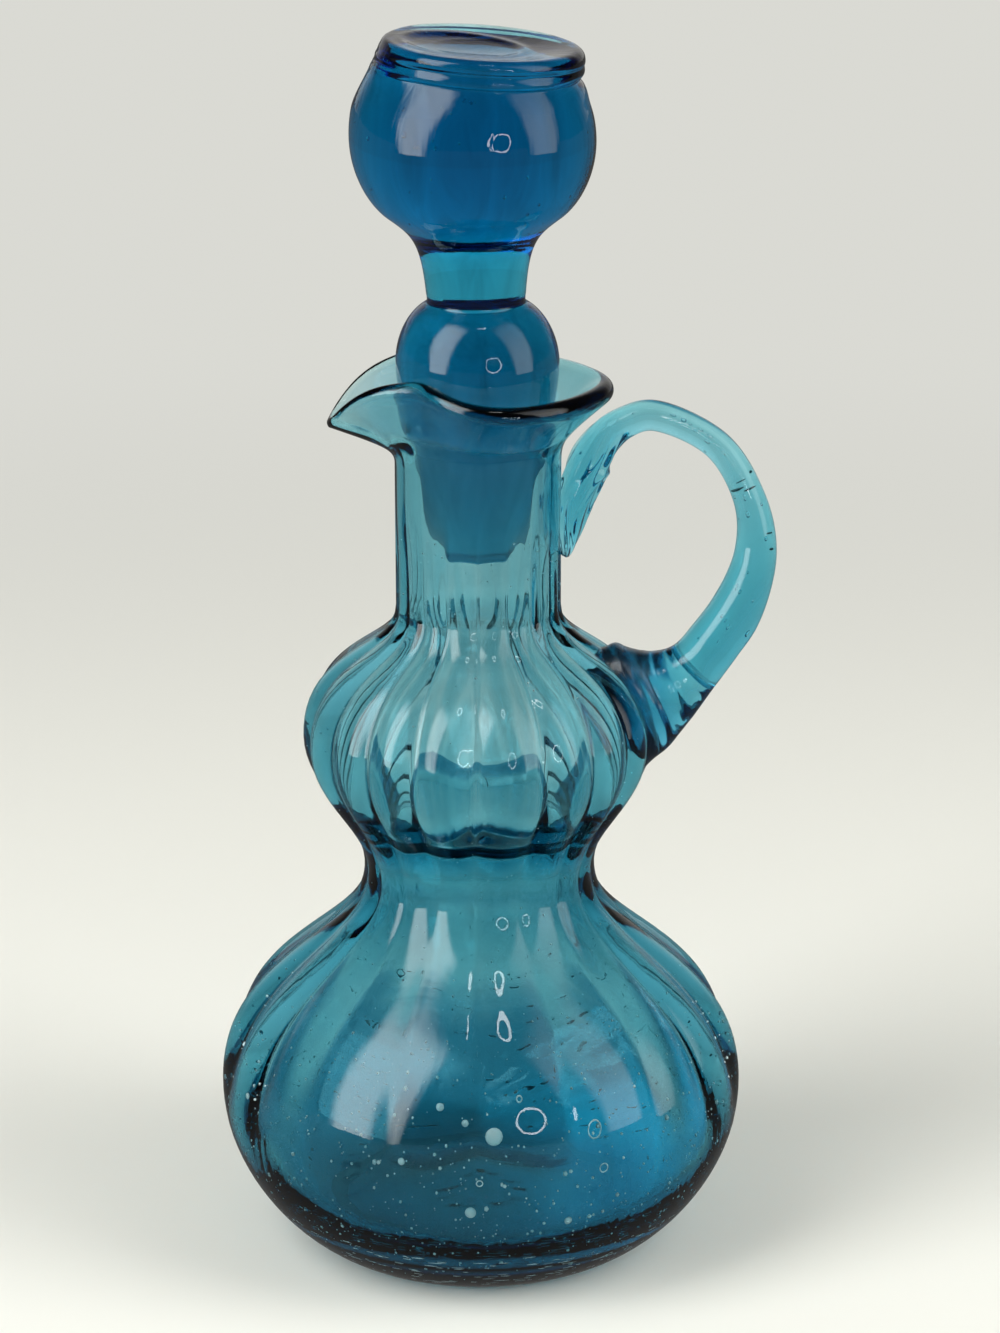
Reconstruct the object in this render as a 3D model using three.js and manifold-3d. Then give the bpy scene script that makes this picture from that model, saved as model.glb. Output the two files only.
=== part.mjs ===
// A hand-blown glass cruet, also called a genie bottle: a ribbed gourd-shaped bottle with a pouring lip,
// an applied loop handle on a crimped pad, and a solid glass stopper that lifts out of the neck.
// Millimetres, +Z up. The origin is the middle of the flat base. The handle is on +X and the spout on -X.
import * as THREE from "three";
import { mergeVertices } from "three/addons/utils/BufferGeometryUtils.js";
import Module from "manifold-3d";

// Bottle: the turns of its outside and of its inside, and how far the curve reaches as it meets and
// leaves each, as [radius, height]. The glass is thick at the heel and gathers at the waist.
const BASE = { radius: 32, height: 0, leave: [10, 4.5] };
const BULB = { radius: 52.7, height: 32, meet: [0, 14], leave: [0, 28] };
const WAIST = { radius: 23.1, height: 79, meet: [0, 17], leave: [0, 9] };
const UPPER_BULB = { radius: 35, height: 106, meet: [0, 11], leave: [0, 18] };
const NECK = { radius: 16.3, height: 133, meet: [0, 9.5], top: 158 };
const WALL = { bulb: 3.8, waist: 5.8, upperBulb: 3.4, neck: 3.3 };
const FLOOR = { radius: 0, height: 5.5, leave: [41, 0] };
const BULB_INSIDE = { radius: BULB.radius - WALL.bulb, height: 33, meet: [0, 21], leave: [0, 24.5] };
const WAIST_INSIDE = { radius: WAIST.radius - WALL.waist, height: 80, meet: [0, 17], leave: [0, 7.5] };
const UPPER_INSIDE = {
  radius: UPPER_BULB.radius - WALL.upperBulb,
  height: 106.5,
  meet: [0, 9.5],
  leave: [0, 15.2],
};
const NECK_INSIDE = { radius: NECK.radius - WALL.neck, height: 131.2, meet: [0, 8.2] };

// Ribs that a dip mould pressed into the glass
const RIB_COUNT = 18;
const RIB_DEPTH = { bulb: 1.1, upperBulb: 1.5, neck: 0.5 };
const RIB_FADE = { from: 26, to: 58 };

// Lip: a flared rim, pinched in on both sides of a spout that is drawn out and down, angles in degrees
const LIP = { radius: 25, height: 178.5, thickness: 2.8 };
const PINCH = { angle: 128, width: 30, depth: 5.2, lift: 3 };
const SPOUT = { width: 20, reach: 4.7, dropWidth: 16, drop: 7.5 };
const HEEL = { width: 22, reach: 1.4 };
const FLARE = { rise: 0.5, spread: 0.8, turn: 0.62, edgeTurn: 4 }; // shares of the way out to the rim

// Handle: its middle line from the bottle's shoulder, over the top and down to the tail on the neck, as [x, z],
// with half its thickness seen from the side and half its width across
const HANDLE_ROUTE = [
  { at: [27, 110.8], side: 13.5, across: 10 },
  { at: [33.5, 113.6], side: 10.8, across: 8.8 },
  { at: [38.2, 116.2], side: 7.8, across: 7.2 },
  { at: [42.3, 119.6], side: 5.9, across: 5.9 },
  { at: [46.8, 125.2], side: 5.4, across: 5.8 },
  { at: [50.5, 131], side: 5.2, across: 5.6 },
  { at: [54.4, 142.8], side: 4.2, across: 4.9 },
  { at: [53, 154.6], side: 3.2, across: 4.2 },
  { at: [46.6, 165.2], side: 2.9, across: 3.8 },
  { at: [34.2, 171.2], side: 3.1, across: 3.8 },
  { at: [27.2, 169.6], side: 2.9, across: 4 },
  { at: [22.6, 165.4], side: 3.2, across: 4.6 },
  { at: [19.6, 158.6], side: 4.2, across: 5.6 },
  { at: [18, 150], side: 3.2, across: 5.2 },
  { at: [17, 143.2], side: 1.2, across: 2.8 },
];
const PAD_END = 3; // the stop on the route where the crimped pad ends and the drawn loop begins
const PAD_CRIMPS = { count: 4, depth: 0.11 };

// Stopper: a solid tapered plug, a rounded shoulder, a waist, and a ball knob under a dished, tilted disc
const PLUG_END = { radius: 6.5, height: 143.6 };
const PLUG_FOOT = { radius: 8.1, height: 145.2, leave: [3, 10.4] };
const SHOULDER = { radius: 15.9, height: 182, meet: [0, 8], leave: [0, 5] };
const CREASE = { radius: 9.9, height: 193.8, meet: [-3.6, 1.8] };
const STEM = { radius: 9.7, height: 196.5, leave: [0, 8.5] };
const KNOB_FOOT = { radius: 16.5, height: 210.8, meet: [3, 4.8], leave: [4, 5.2] };
const KNOB = { radius: 23.5, height: 226, meet: [0, 6.5], leave: [0, 6] };
const NOTCH = { radius: 19.2, height: 239.6, meet: [-2.6, 3.6] };
const DISC = { height: 244.3, overhang: 1, tiltX: 5.5, tiltY: 0.5, shift: 1.6 };
const DISH_EDGE = { radius: 17.2, height: 244, leave: [-4, -1] };
const DISH = { radius: 0, height: 242.4, meet: [-7, 0] };
const STOPPER_LEAN = -1; // degrees, above the shoulder

const SEAM_GAP = 0.4; // room between pieces that are fused together in the real object
const BOTTLE_SEGMENTS = 4 * RIB_COUNT;
const STOPPER_SEGMENTS = 36;
const HANDLE_SIDES = 14;
const PAD_STEPS = 20;
const LOOP_STEPS = 52;

const wasm = await Module();
wasm.setup();

const { degToRad, radToDeg, lerp, smoothstep } = THREE.MathUtils;
const bump = (distance, width) => Math.exp(-((distance / width) ** 2));

// Outlines, as radius and height

const point = (radius, height) => new THREE.Vector2(radius, height);

/** The curve of an outline between two turns. */
function span(from, to) {
  return new THREE.CubicBezierCurve(
    point(from.radius, from.height),
    point(from.radius + from.leave[0], from.height + from.leave[1]),
    point(to.radius - to.meet[0], to.height - to.meet[1]),
    point(to.radius, to.height),
  );
}

/** The points of a curve without its last one, which starts the next curve. */
const sampled = (curve, steps) => curve.getPoints(steps).slice(0, -1);

// Rings: a lathe's faces, with each ring placed by its own function of the angle

const around = (radius, angle, height) =>
  new THREE.Vector3(radius * Math.cos(angle), radius * Math.sin(angle), height);

const plainRing = (radius, height) => (angle) => around(radius, angle, height);

/** A closed geometry from rings that run up its outside and, where it is hollow, down its inside. */
function ringGeometry(rings, segments) {
  const profile = rings.map((ring) => point(ring(0).length(), 0));
  const geometry = new THREE.LatheGeometry(profile, segments);
  const position = geometry.getAttribute("position");
  for (let segment = 0; segment <= segments; segment++) {
    const angle = ((segment % segments) / segments) * 2 * Math.PI;
    rings.forEach((ring, index) => {
      position.setXYZ(segment * rings.length + index, ...ring(angle).toArray());
    });
  }
  return mergedCorners(geometry);
}

/** The same surface with shared corners merged, and without the faces of no area at its poles. */
function mergedCorners(geometry) {
  geometry.deleteAttribute("normal");
  geometry.deleteAttribute("uv");
  const merged = mergeVertices(geometry, 1e-4);
  const corners = merged.index.array;
  const kept = [];
  for (let first = 0; first < corners.length; first += 3) {
    const face = corners.slice(first, first + 3);
    if (new Set(face).size === 3) kept.push(...face);
  }
  merged.setIndex(kept);
  return merged;
}

// Bottle

const outsideSpans = [
  { curve: span(BASE, BULB), steps: 5 },
  { curve: span(BULB, WAIST), steps: 8 },
  { curve: span(WAIST, UPPER_BULB), steps: 5 },
  { curve: span(UPPER_BULB, NECK), steps: 6 },
];
const insideSpans = [
  { curve: span(FLOOR, BULB_INSIDE), steps: 7 },
  { curve: span(BULB_INSIDE, WAIST_INSIDE), steps: 6 },
  { curve: span(WAIST_INSIDE, UPPER_INSIDE), steps: 5 },
  { curve: span(UPPER_INSIDE, NECK_INSIDE), steps: 5 },
];

/** How deep the valleys between ribs are at a height: fading out down the big bulb, and fine on the neck. */
function ribDepth(height) {
  const shoulder = UPPER_BULB.height + UPPER_BULB.leave[1] / 2;
  const low = RIB_DEPTH.bulb * smoothstep(height, RIB_FADE.from, RIB_FADE.to);
  const middle = lerp(low, RIB_DEPTH.upperBulb, smoothstep(height, WAIST.height, UPPER_BULB.height));
  return lerp(middle, RIB_DEPTH.neck, smoothstep(height, shoulder, NECK.height));
}

/** 0 along the broad crest of a rib, and 1 in the narrow valley between two ribs. */
const ribValley = (angle) => 1 - Math.sqrt(Math.abs(Math.cos((RIB_COUNT / 2) * angle)));

const ribbedRing = (radius, height, margin) => (angle) =>
  around(radius + margin - ribDepth(height) * ribValley(angle), angle, height);

/** Rings up the outside of the bottle to the foot of its neck, grown by a margin. */
function outsideRings(margin) {
  const places = outsideSpans.flatMap(({ curve, steps }) => sampled(curve, steps));
  places.push(point(NECK.radius, NECK.height));
  return places.map((place) => ribbedRing(place.x, place.y, margin));
}

/** Rings up the smooth inside of the bottle, from the middle of its floor to the foot of its neck. */
function insideRings() {
  const places = insideSpans.flatMap(({ curve, steps }) => sampled(curve, steps));
  places.push(point(NECK_INSIDE.radius, NECK_INSIDE.height), point(NECK_INSIDE.radius, NECK.height));
  return places.map((place) => plainRing(place.x, place.y));
}

/** The rim's outer radius and its top at an angle, where half a turn is the spout. */
function rimAt(angle) {
  const turn = Math.abs(radToDeg(Math.atan2(Math.sin(angle), Math.cos(angle))));
  const pinch = bump(turn - PINCH.angle, PINCH.width);
  const reach = SPOUT.reach * bump(180 - turn, SPOUT.width) + HEEL.reach * bump(turn, HEEL.width);
  const drop = SPOUT.drop * bump(180 - turn, SPOUT.dropWidth);
  return {
    radius: LIP.radius - PINCH.depth * pinch + reach,
    height: LIP.height + PINCH.lift * pinch - drop,
  };
}

/** The outside of the flare at an angle, from the top of the neck to the rim. */
function flareCurve(angle) {
  const rim = rimAt(angle);
  const start = point(NECK.radius, NECK.top);
  const end = point(rim.radius, rim.height - LIP.thickness / 2);
  const reach = end.clone().sub(start);
  return new THREE.CubicBezierCurve(
    start,
    point(start.x, start.y + FLARE.rise * reach.y),
    point(start.x + FLARE.spread * reach.x, start.y + FLARE.turn * reach.y),
    end,
  );
}

/** A ring on the outside of the flare, from share 0 at the neck to 1 at the rim, grown by a margin. */
const flareRing = (share, margin) => (angle) => {
  const place = flareCurve(angle).getPoint(share);
  const valley = RIB_DEPTH.neck * (1 - share) * ribValley(angle);
  return around(place.x + margin - valley, angle, place.y);
};

/** A ring on the inside of the flare, set in from the outside by the thickness of the wall there. */
const innerFlareRing = (share) => (angle) => {
  const curve = flareCurve(angle);
  const place = curve.getPoint(share);
  const along = curve.getTangent(share).lerp(point(0, 1), share ** FLARE.edgeTurn).normalize();
  const wall = lerp(WALL.neck, LIP.thickness, share);
  return around(place.x - wall * along.y, angle, place.y + wall * along.x);
};

/** A ring on the rim's rounded edge, from share 0 outside to 1 inside. */
const edgeRing = (share) => (angle) => {
  const rim = rimAt(angle);
  const half = LIP.thickness / 2;
  const inset = half * (1 - Math.cos(share * Math.PI));
  return around(rim.radius - inset, angle, rim.height - half + half * Math.sin(share * Math.PI));
};

function bottleGeometry() {
  const rings = [
    plainRing(0, BASE.height),
    plainRing(BASE.radius / 2, BASE.height),
    ...outsideRings(0),
    ...insideRings().reverse(),
  ];
  return ringGeometry(rings, BOTTLE_SEGMENTS);
}

/** The neck and the lip, which are blown in one with the bottle, from just above its shoulder. */
function neckGeometry() {
  const foot = NECK.height + SEAM_GAP;
  const flareShares = [0, 1, 2, 3, 4, 5, 6].map((step) => step / 6);
  const edgeShares = [1, 2, 3].map((step) => step / 4);
  const rings = [
    ribbedRing(NECK.radius, foot, 0),
    ribbedRing(NECK.radius, (foot + NECK.top) / 2, 0),
    ...flareShares.map((share) => flareRing(share, 0)),
    ...edgeShares.map(edgeRing),
    ...flareShares.map(innerFlareRing).reverse(),
    plainRing(NECK_INSIDE.radius, foot),
    ribbedRing(NECK.radius, foot, 0),
  ];
  return ringGeometry(rings, BOTTLE_SEGMENTS);
}

/** The bottle's outside as a full solid up to the lip, grown by the seam gap, for fitting the handle to it. */
function bottleForm() {
  const rings = [
    plainRing(0, BASE.height),
    ...outsideRings(SEAM_GAP),
    ...[0, 0.3, 0.6].map((share) => flareRing(share, SEAM_GAP)),
    plainRing(0, LIP.height),
  ];
  return ringGeometry(rings, BOTTLE_SEGMENTS);
}

// Handle

const routeCurve = new THREE.CatmullRomCurve3(
  HANDLE_ROUTE.map(({ at }) => new THREE.Vector3(at[0], 0, at[1])),
);
const routeSizes = new THREE.CatmullRomCurve3(
  HANDLE_ROUTE.map(({ side, across }) => new THREE.Vector3(side, across, 0)),
);
const padEndShare = PAD_END / (HANDLE_ROUTE.length - 1);
const loopStartShare = padEndShare + (2 * SEAM_GAP) / routeCurve.getLength();

/** The corners of an oval section across the route, scaled by a swell that may change round it. */
function sectionCorners(share, swell) {
  const middle = routeCurve.getPoint(share);
  const along = routeCurve.getTangent(share);
  const half = routeSizes.getPoint(share);
  const side = new THREE.Vector3(along.z, 0, -along.x);
  const across = new THREE.Vector3(0, 1, 0);
  const corners = [];
  for (let turn = 0; turn < HANDLE_SIDES; turn++) {
    const angle = (turn / HANDLE_SIDES) * 2 * Math.PI;
    const corner = middle.clone().addScaledVector(side, half.x * swell(angle) * Math.cos(angle));
    corners.push(corner.addScaledVector(across, half.y * swell(angle) * Math.sin(angle)));
  }
  return corners;
}

/** A closed rod along part of the route, scaled by a swell that changes from its start to its end. */
function rodGeometry(startShare, endShare, steps, swell) {
  const corners = [routeCurve.getPoint(startShare), routeCurve.getPoint(endShare)];
  for (let step = 0; step <= steps; step++) {
    const share = step / steps;
    corners.push(...sectionCorners(lerp(startShare, endShare, share), (angle) => swell(share, angle)));
  }
  const corner = (step, turn) => 2 + step * HANDLE_SIDES + (turn % HANDLE_SIDES);
  const faces = [];
  for (let turn = 0; turn < HANDLE_SIDES; turn++) {
    faces.push(0, corner(0, turn + 1), corner(0, turn));
    faces.push(1, corner(steps, turn), corner(steps, turn + 1));
    for (let step = 0; step < steps; step++) {
      faces.push(corner(step, turn), corner(step, turn + 1), corner(step + 1, turn + 1));
      faces.push(corner(step, turn), corner(step + 1, turn + 1), corner(step + 1, turn));
    }
  }
  return new THREE.BufferGeometry().setFromPoints(corners).setIndex(faces);
}

/** The pad that seals the handle to the shoulder, crimped on both faces in folds that fade out. */
function padGeometry() {
  const crimped = (share, angle) => {
    const fold = Math.sin(share * PAD_CRIMPS.count * 2 * Math.PI) * (1 - share);
    return 1 + PAD_CRIMPS.depth * fold * Math.abs(Math.sin(angle));
  };
  return rodGeometry(0, padEndShare, PAD_STEPS, crimped);
}

const loopGeometry = () => rodGeometry(loopStartShare, 1, LOOP_STEPS, () => 1);

// Stopper

/** A ring of the stopper: it leans above the shoulder, and the disc is tilted and pushed to one side. */
const stopperRing = (place) => (angle) => {
  const ring = around(place.x, angle, place.y);
  const onDisc = smoothstep(place.y, KNOB.height + KNOB.leave[1], NOTCH.height);
  const lean = Math.tan(degToRad(STOPPER_LEAN)) * Math.max(0, place.y - SHOULDER.height);
  const tilt = ring.y * Math.tan(degToRad(DISC.tiltY)) - ring.x * Math.tan(degToRad(DISC.tiltX));
  return ring.add(new THREE.Vector3(lean + DISC.shift * onDisc, 0, tilt * onDisc));
};

function stopperGeometry() {
  const rimHalf = (DISC.height - NOTCH.height) / 2;
  const rimBead = new THREE.EllipseCurve(
    NOTCH.radius,
    NOTCH.height + rimHalf,
    DISC.overhang,
    rimHalf,
    -Math.PI / 2,
    Math.PI / 2,
  );
  const outline = [
    point(0, PLUG_END.height),
    point(PLUG_END.radius, PLUG_END.height),
    ...sampled(span(PLUG_FOOT, SHOULDER), 8),
    ...sampled(span(SHOULDER, CREASE), 5),
    point(CREASE.radius, CREASE.height),
    ...sampled(span(STEM, KNOB_FOOT), 6),
    ...sampled(span(KNOB_FOOT, KNOB), 6),
    ...sampled(span(KNOB, NOTCH), 5),
    ...rimBead.getPoints(4),
    ...span(DISH_EDGE, DISH).getPoints(3),
  ];
  return ringGeometry(outline.map(stopperRing), STOPPER_SEGMENTS);
}

// Fitting one piece to another

function solidOf(geometry) {
  const mesh = new wasm.Mesh({
    numProp: 3,
    vertProperties: geometry.getAttribute("position").array,
    triVerts: new Uint32Array(geometry.index.array),
  });
  return new wasm.Manifold(mesh);
}

/** The largest body of what is left of a piece outside a form. */
function fittedTo(geometry, form) {
  const bodies = solidOf(geometry).subtract(solidOf(form)).decompose();
  const largest = bodies.reduce((best, body) => (body.volume() > best.volume() ? body : best));
  const mesh = largest.getMesh();
  const fitted = new THREE.BufferGeometry();
  fitted.setAttribute("position", new THREE.BufferAttribute(mesh.vertProperties, 3));
  fitted.setIndex(new THREE.BufferAttribute(mesh.triVerts, 1));
  return fitted;
}

// Assembly

function piece(name, geometry, color) {
  geometry.computeVertexNormals();
  const material = new THREE.MeshStandardMaterial({
    color,
    roughness: 0.05,
    metalness: 0,
    transparent: true,
    opacity: 0.45,
  });
  const mesh = new THREE.Mesh(geometry, material);
  mesh.name = name;
  return mesh;
}

const form = bottleForm();
const cruet = new THREE.Group();
cruet.add(piece("bottle", bottleGeometry(), 0x2f9fb4));
cruet.add(piece("bottle_neck", neckGeometry(), 0x2f9fb4));
cruet.add(piece("handle_pad", fittedTo(padGeometry(), form), 0x2389ab));
cruet.add(piece("handle_loop", fittedTo(loopGeometry(), form), 0x3fa9b8));
cruet.add(piece("stopper", stopperGeometry(), 0x0f5f94));

export default cruet;
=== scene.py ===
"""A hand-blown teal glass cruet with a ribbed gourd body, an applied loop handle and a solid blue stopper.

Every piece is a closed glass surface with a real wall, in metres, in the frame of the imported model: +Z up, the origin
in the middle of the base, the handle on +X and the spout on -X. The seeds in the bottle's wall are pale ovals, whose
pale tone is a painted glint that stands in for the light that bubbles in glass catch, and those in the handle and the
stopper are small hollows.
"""

import math
from collections import namedtuple

import bpy
import numpy as np
from mathutils import Matrix, Vector


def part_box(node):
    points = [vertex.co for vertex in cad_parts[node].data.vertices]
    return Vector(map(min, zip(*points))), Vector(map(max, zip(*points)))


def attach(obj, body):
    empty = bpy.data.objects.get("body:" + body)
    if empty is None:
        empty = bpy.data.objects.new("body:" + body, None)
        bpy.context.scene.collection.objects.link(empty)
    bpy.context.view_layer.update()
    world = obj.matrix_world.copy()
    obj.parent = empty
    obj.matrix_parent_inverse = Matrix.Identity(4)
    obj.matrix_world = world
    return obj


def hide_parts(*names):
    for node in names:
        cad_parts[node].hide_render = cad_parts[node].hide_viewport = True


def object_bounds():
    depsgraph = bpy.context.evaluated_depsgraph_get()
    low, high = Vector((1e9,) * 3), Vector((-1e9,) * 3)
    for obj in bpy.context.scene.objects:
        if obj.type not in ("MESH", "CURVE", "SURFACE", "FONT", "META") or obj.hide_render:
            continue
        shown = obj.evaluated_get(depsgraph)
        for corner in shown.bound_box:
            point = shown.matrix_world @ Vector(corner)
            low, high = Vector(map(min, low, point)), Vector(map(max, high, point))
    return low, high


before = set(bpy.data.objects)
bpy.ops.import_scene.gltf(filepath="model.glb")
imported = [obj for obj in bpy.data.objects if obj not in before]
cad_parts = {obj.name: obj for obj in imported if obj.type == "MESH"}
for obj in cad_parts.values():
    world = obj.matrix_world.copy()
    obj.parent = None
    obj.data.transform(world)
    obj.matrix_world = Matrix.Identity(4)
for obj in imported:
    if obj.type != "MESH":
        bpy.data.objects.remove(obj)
CAD_BOX = [list(corner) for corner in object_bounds()]

bl_info = {
    "name": "Stoppered glass cruet",
    "version": (1, 0, 0),
    "blender": (4, 5, 0),
    "location": "3D View > Sidebar > Cruet",
    "description": "Builds a hand-blown ribbed cruet with an applied handle and a solid stopper",
    "category": "Object",
}

MM = 0.001
BOTTLE_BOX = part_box("bottle")
STOPPER_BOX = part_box("stopper")


# Sizes and colours that a user would change

def length(name, description, default):
    return bpy.props.FloatProperty(
        name=name, description=description, default=default, min=0.0, unit="LENGTH", precision=5
    )


def angle(name, description, degrees):
    return bpy.props.FloatProperty(
        name=name, description=description, default=math.radians(degrees), unit="ROTATION"
    )


def share(name, description, default):
    return bpy.props.FloatProperty(name=name, description=description, default=default, subtype="FACTOR")


def count(name, description, default):
    return bpy.props.IntProperty(name=name, description=description, default=default, min=0)


def colour(name, description, default):
    return bpy.props.FloatVectorProperty(
        name=name, description=description, default=default, size=3, min=0.0, max=1.0, subtype="COLOR"
    )


def amount(name, description, default):
    return bpy.props.FloatProperty(name=name, description=description, default=default)


class BottleSettings(bpy.types.PropertyGroup):
    """Sizes of the blown bottle."""

    base_radius: length("Base radius", "Edge of the flat base", 32 * MM)
    bulb_radius: length("Bulb radius", "Widest part of the lower bulb", BOTTLE_BOX[1].x)
    bulb_height: length("Bulb height", "Height of the widest part of the lower bulb", 32 * MM)
    waist_radius: length("Waist radius", "Narrowest part between the bulbs", 23.1 * MM)
    waist_height: length("Waist height", "Height of the waist", 79 * MM)
    upper_radius: length("Upper bulb radius", "Widest part of the upper bulb", 35 * MM)
    upper_height: length("Upper bulb height", "Height of the widest part of the upper bulb", 106 * MM)
    neck_radius: length("Neck radius", "Outside of the neck", 16.3 * MM)
    neck_foot: length("Neck foot", "Height where the neck runs straight", 133 * MM)
    neck_top: length("Neck top", "Height where the lip begins to flare", 162 * MM)
    wall: length("Wall", "Thickness of the lower bulb's wall", 4.1 * MM)
    waist_wall: length("Waist wall", "Thickness of the glass that gathers at the waist", 5.1 * MM)
    upper_wall: length("Upper wall", "Thickness of the upper bulb's wall", 3.4 * MM)
    neck_wall: length("Neck wall", "Thickness of the neck", 3.1 * MM)
    floor: length("Floor", "Thickness of the glass under the hollow", 6.5 * MM)
    kick: length("Kick", "How far the middle of the underside is pushed up", 1.2 * MM)
    pontil: length("Pontil radius", "Scar left by the rod that held the base", 8 * MM)
    ribs: count("Ribs", "Ribs pressed by the dip mould", 18)
    rib_bulb: length("Ribs on the bulb", "Depth of the valleys on the lower bulb", 0.6 * MM)
    rib_waist: length("Ribs on the waist", "Depth of the valleys at the waist", 0.55 * MM)
    rib_upper: length("Ribs on the upper bulb", "Depth of the valleys on the upper bulb", 1.7 * MM)
    rib_neck: length("Ribs on the neck", "Depth of the valleys on the neck", 0.6 * MM)
    lip_radius: length("Lip radius", "Radius of the rim at its sides", 25 * MM)
    lip_height: length("Lip height", "Height of the rim at its sides", 178.5 * MM)
    lip_thickness: length("Lip thickness", "Fire-polished edge of the rim", 4 * MM)
    pinch: length("Pinch", "How far the rim is pressed in beside the spout", 5.2 * MM)
    pinch_lift: length("Pinch lift", "How far the rim rises where it is pressed in", 3 * MM)
    spout: length("Spout", "How far the spout is drawn out", 4.7 * MM)
    spout_drop: length("Spout drop", "How far the spout is drawn down", 7.5 * MM)
    seeds: count("Seeds", "Small bubbles in the wall", 2400)


class HandleSettings(bpy.types.PropertyGroup):
    """Sizes of the applied handle and its pad."""

    sunk: length("Sunk", "How deep the handle's fused faces lie in the bottle's glass", 0.15 * MM)
    crimps: count("Crimps", "Folds pressed into the pad", 3)
    crimp_depth: share("Crimp depth", "Depth of the folds as a share of the pad", 0.05)
    seeds: count("Seeds", "Drawn-out bubbles in the rod", 26)


class StopperSettings(bpy.types.PropertyGroup):
    """Sizes of the solid stopper."""

    plug_end: length("Plug end", "Height of the plug's flat end", STOPPER_BOX[0].z)
    shoulder_radius: length("Shoulder radius", "Rounded shoulder above the plug", 15.9 * MM)
    shoulder_height: length("Shoulder height", "Height of the shoulder's widest part", 182 * MM)
    stem_radius: length("Stem radius", "Narrow stem under the knob", 9.7 * MM)
    knob_radius: length("Knob radius", "Ball of the knob", 23.5 * MM)
    knob_height: length("Knob height", "Height of the ball's widest part", 226 * MM)
    disc_radius: length("Disc radius", "Flattened top of the knob", 19.2 * MM)
    disc_height: length("Disc height", "Height of the disc's rim", 244.3 * MM)
    tilt_x: angle("Disc tilt towards the handle", "Slope of the disc along X", 3.9)
    tilt_y: angle("Disc tilt to the front", "Slope of the disc along Y", 0.5)
    shift: length("Disc shift", "How far the disc sits off the knob's middle", 1.6 * MM)
    lean: angle("Lean", "Lean of the knob above the shoulder", 1.0)
    ground_height: length("Ground height", "Top of the ground part of the plug", 166.5 * MM)
    seeds: count("Seeds", "Small bubbles in the knob", 46)


class GlassSettings(bpy.types.PropertyGroup):
    """Colours of the glass, as what a metre of it lets through at its density."""

    bottle_tint: colour("Bottle tint", "Light that the bottle's glass passes", (0.069, 0.655, 0.752))
    bottle_density: amount("Bottle density", "Strength of the bottle's tint per metre", 275.0)
    handle_tint: colour("Handle tint", "Light that the handle's glass passes", (0.03, 0.725, 0.835))
    handle_density: amount("Handle density", "Strength of the handle's tint per metre", 228.0)
    pad_colour: colour("Pad colour", "Deeper colour of the pad's surface near the bottle", (0.38, 0.67, 0.87))
    stopper_tint: colour("Stopper tint", "Light that the stopper's glass passes", (0.05, 0.767, 0.876))
    stopper_density: amount("Stopper density", "Strength of the stopper's tint per metre", 203.0)


class StageSettings(bpy.types.PropertyGroup):
    """The pale floor, the studio light and the camera."""

    floor_colour: colour("Floor colour", "Plain pale floor", (0.78, 0.77, 0.73))
    even_colour: colour("Even colour", "Tone that the floor fades to away from the bottle", (0.70, 0.70, 0.655))
    low_sky: colour("Low sky", "Backdrop near the floor", (0.78, 0.775, 0.73))
    high_sky: colour("High sky", "Backdrop above the bottle", (0.96, 0.95, 0.91))
    ceiling_colour: colour("Ceiling colour", "Dim room overhead", (0.25, 0.25, 0.25))
    room_colour: colour("Room colour", "Dark room behind the camera", (0.03, 0.03, 0.033))
    # Painted shade: the floor close under the bottle is darkened where it is seen through the glass, standing in for
    # the bottle's shadow
    shade: colour("Shade", "Floor close under the bottle as seen through its glass", (0.13, 0.32, 0.40))
    # Painted glow: light painted onto the floor under the base, seen through the glass, standing in for light that the
    # bottle focuses there
    glow: colour("Glow", "Light that the floor under the base sends up through the glass", (0.0, 0.09, 0.12))
    dim_colour: colour("Reflected floor colour", "Floor as the glass reflects it", (0.12, 0.12, 0.115))
    box_colour: colour("Softbox colour", "Light of the two softboxes", (0.965, 0.98, 0.945))
    lamp_radiance: amount("Lamp radiance", "Light of the softboxes on matt things", 7.0)
    box_radiance: amount("Softbox light", "Brightness of the left softbox", 5.3)
    ring_radiance: amount("Ring light", "Brightness of the small ring lights", 9.0)
    fill: amount("Fill", "Light from all round on matt things", 0.4)
    camera_distance: length("Camera distance", "Camera to the middle of the bottle", 0.8713)
    camera_target: length("Camera target", "Height that the camera looks at", 0.1199)
    camera_side: length("Camera side", "How far the camera stands to the handle's side", 4.2 * MM)
    camera_elevation: angle("Camera elevation", "Angle that the camera looks down by", 18.2)
    camera_roll: angle("Camera roll", "Tilt of the camera about its line of sight", -0.15)
    camera_lens: amount("Lens", "Focal length in millimetres on a 36 mm sensor", 118.8)


# Curves

Turn = namedtuple("Turn", "radius height meet leave", defaults=((0, 0), (0, 0)))


def bezier(p0, p1, p2, p3, t):
    """Cubic curve: the four points weighted by (1-t)^3, 3t(1-t)^2, 3t^2(1-t) and t^3."""
    t = np.asarray(t, float)[..., None]
    return (1 - t) ** 3 * p0 + 3 * t * (1 - t) ** 2 * p1 + 3 * t**2 * (1 - t) * p2 + t**3 * p3


def bezier_slope(p0, p1, p2, p3, t):
    """Direction of the same curve, of length one."""
    t = np.asarray(t, float)[..., None]
    slope = (1 - t) ** 2 * (p1 - p0) + 2 * t * (1 - t) * (p2 - p1) + t**2 * (p3 - p2)
    return slope / np.linalg.norm(slope, axis=-1, keepdims=True)


def span(start, end, steps=80):
    """Outline from one turn to the next, leaving and meeting them by the turns' own reaches."""
    p0, p3 = (np.array([turn.radius, turn.height]) for turn in (start, end))
    p1 = p0 + np.array(start.leave) * MM
    p2 = p3 - np.array(end.meet) * MM
    return bezier(p0, p1, p2, p3, np.linspace(0, 1, steps))


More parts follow.
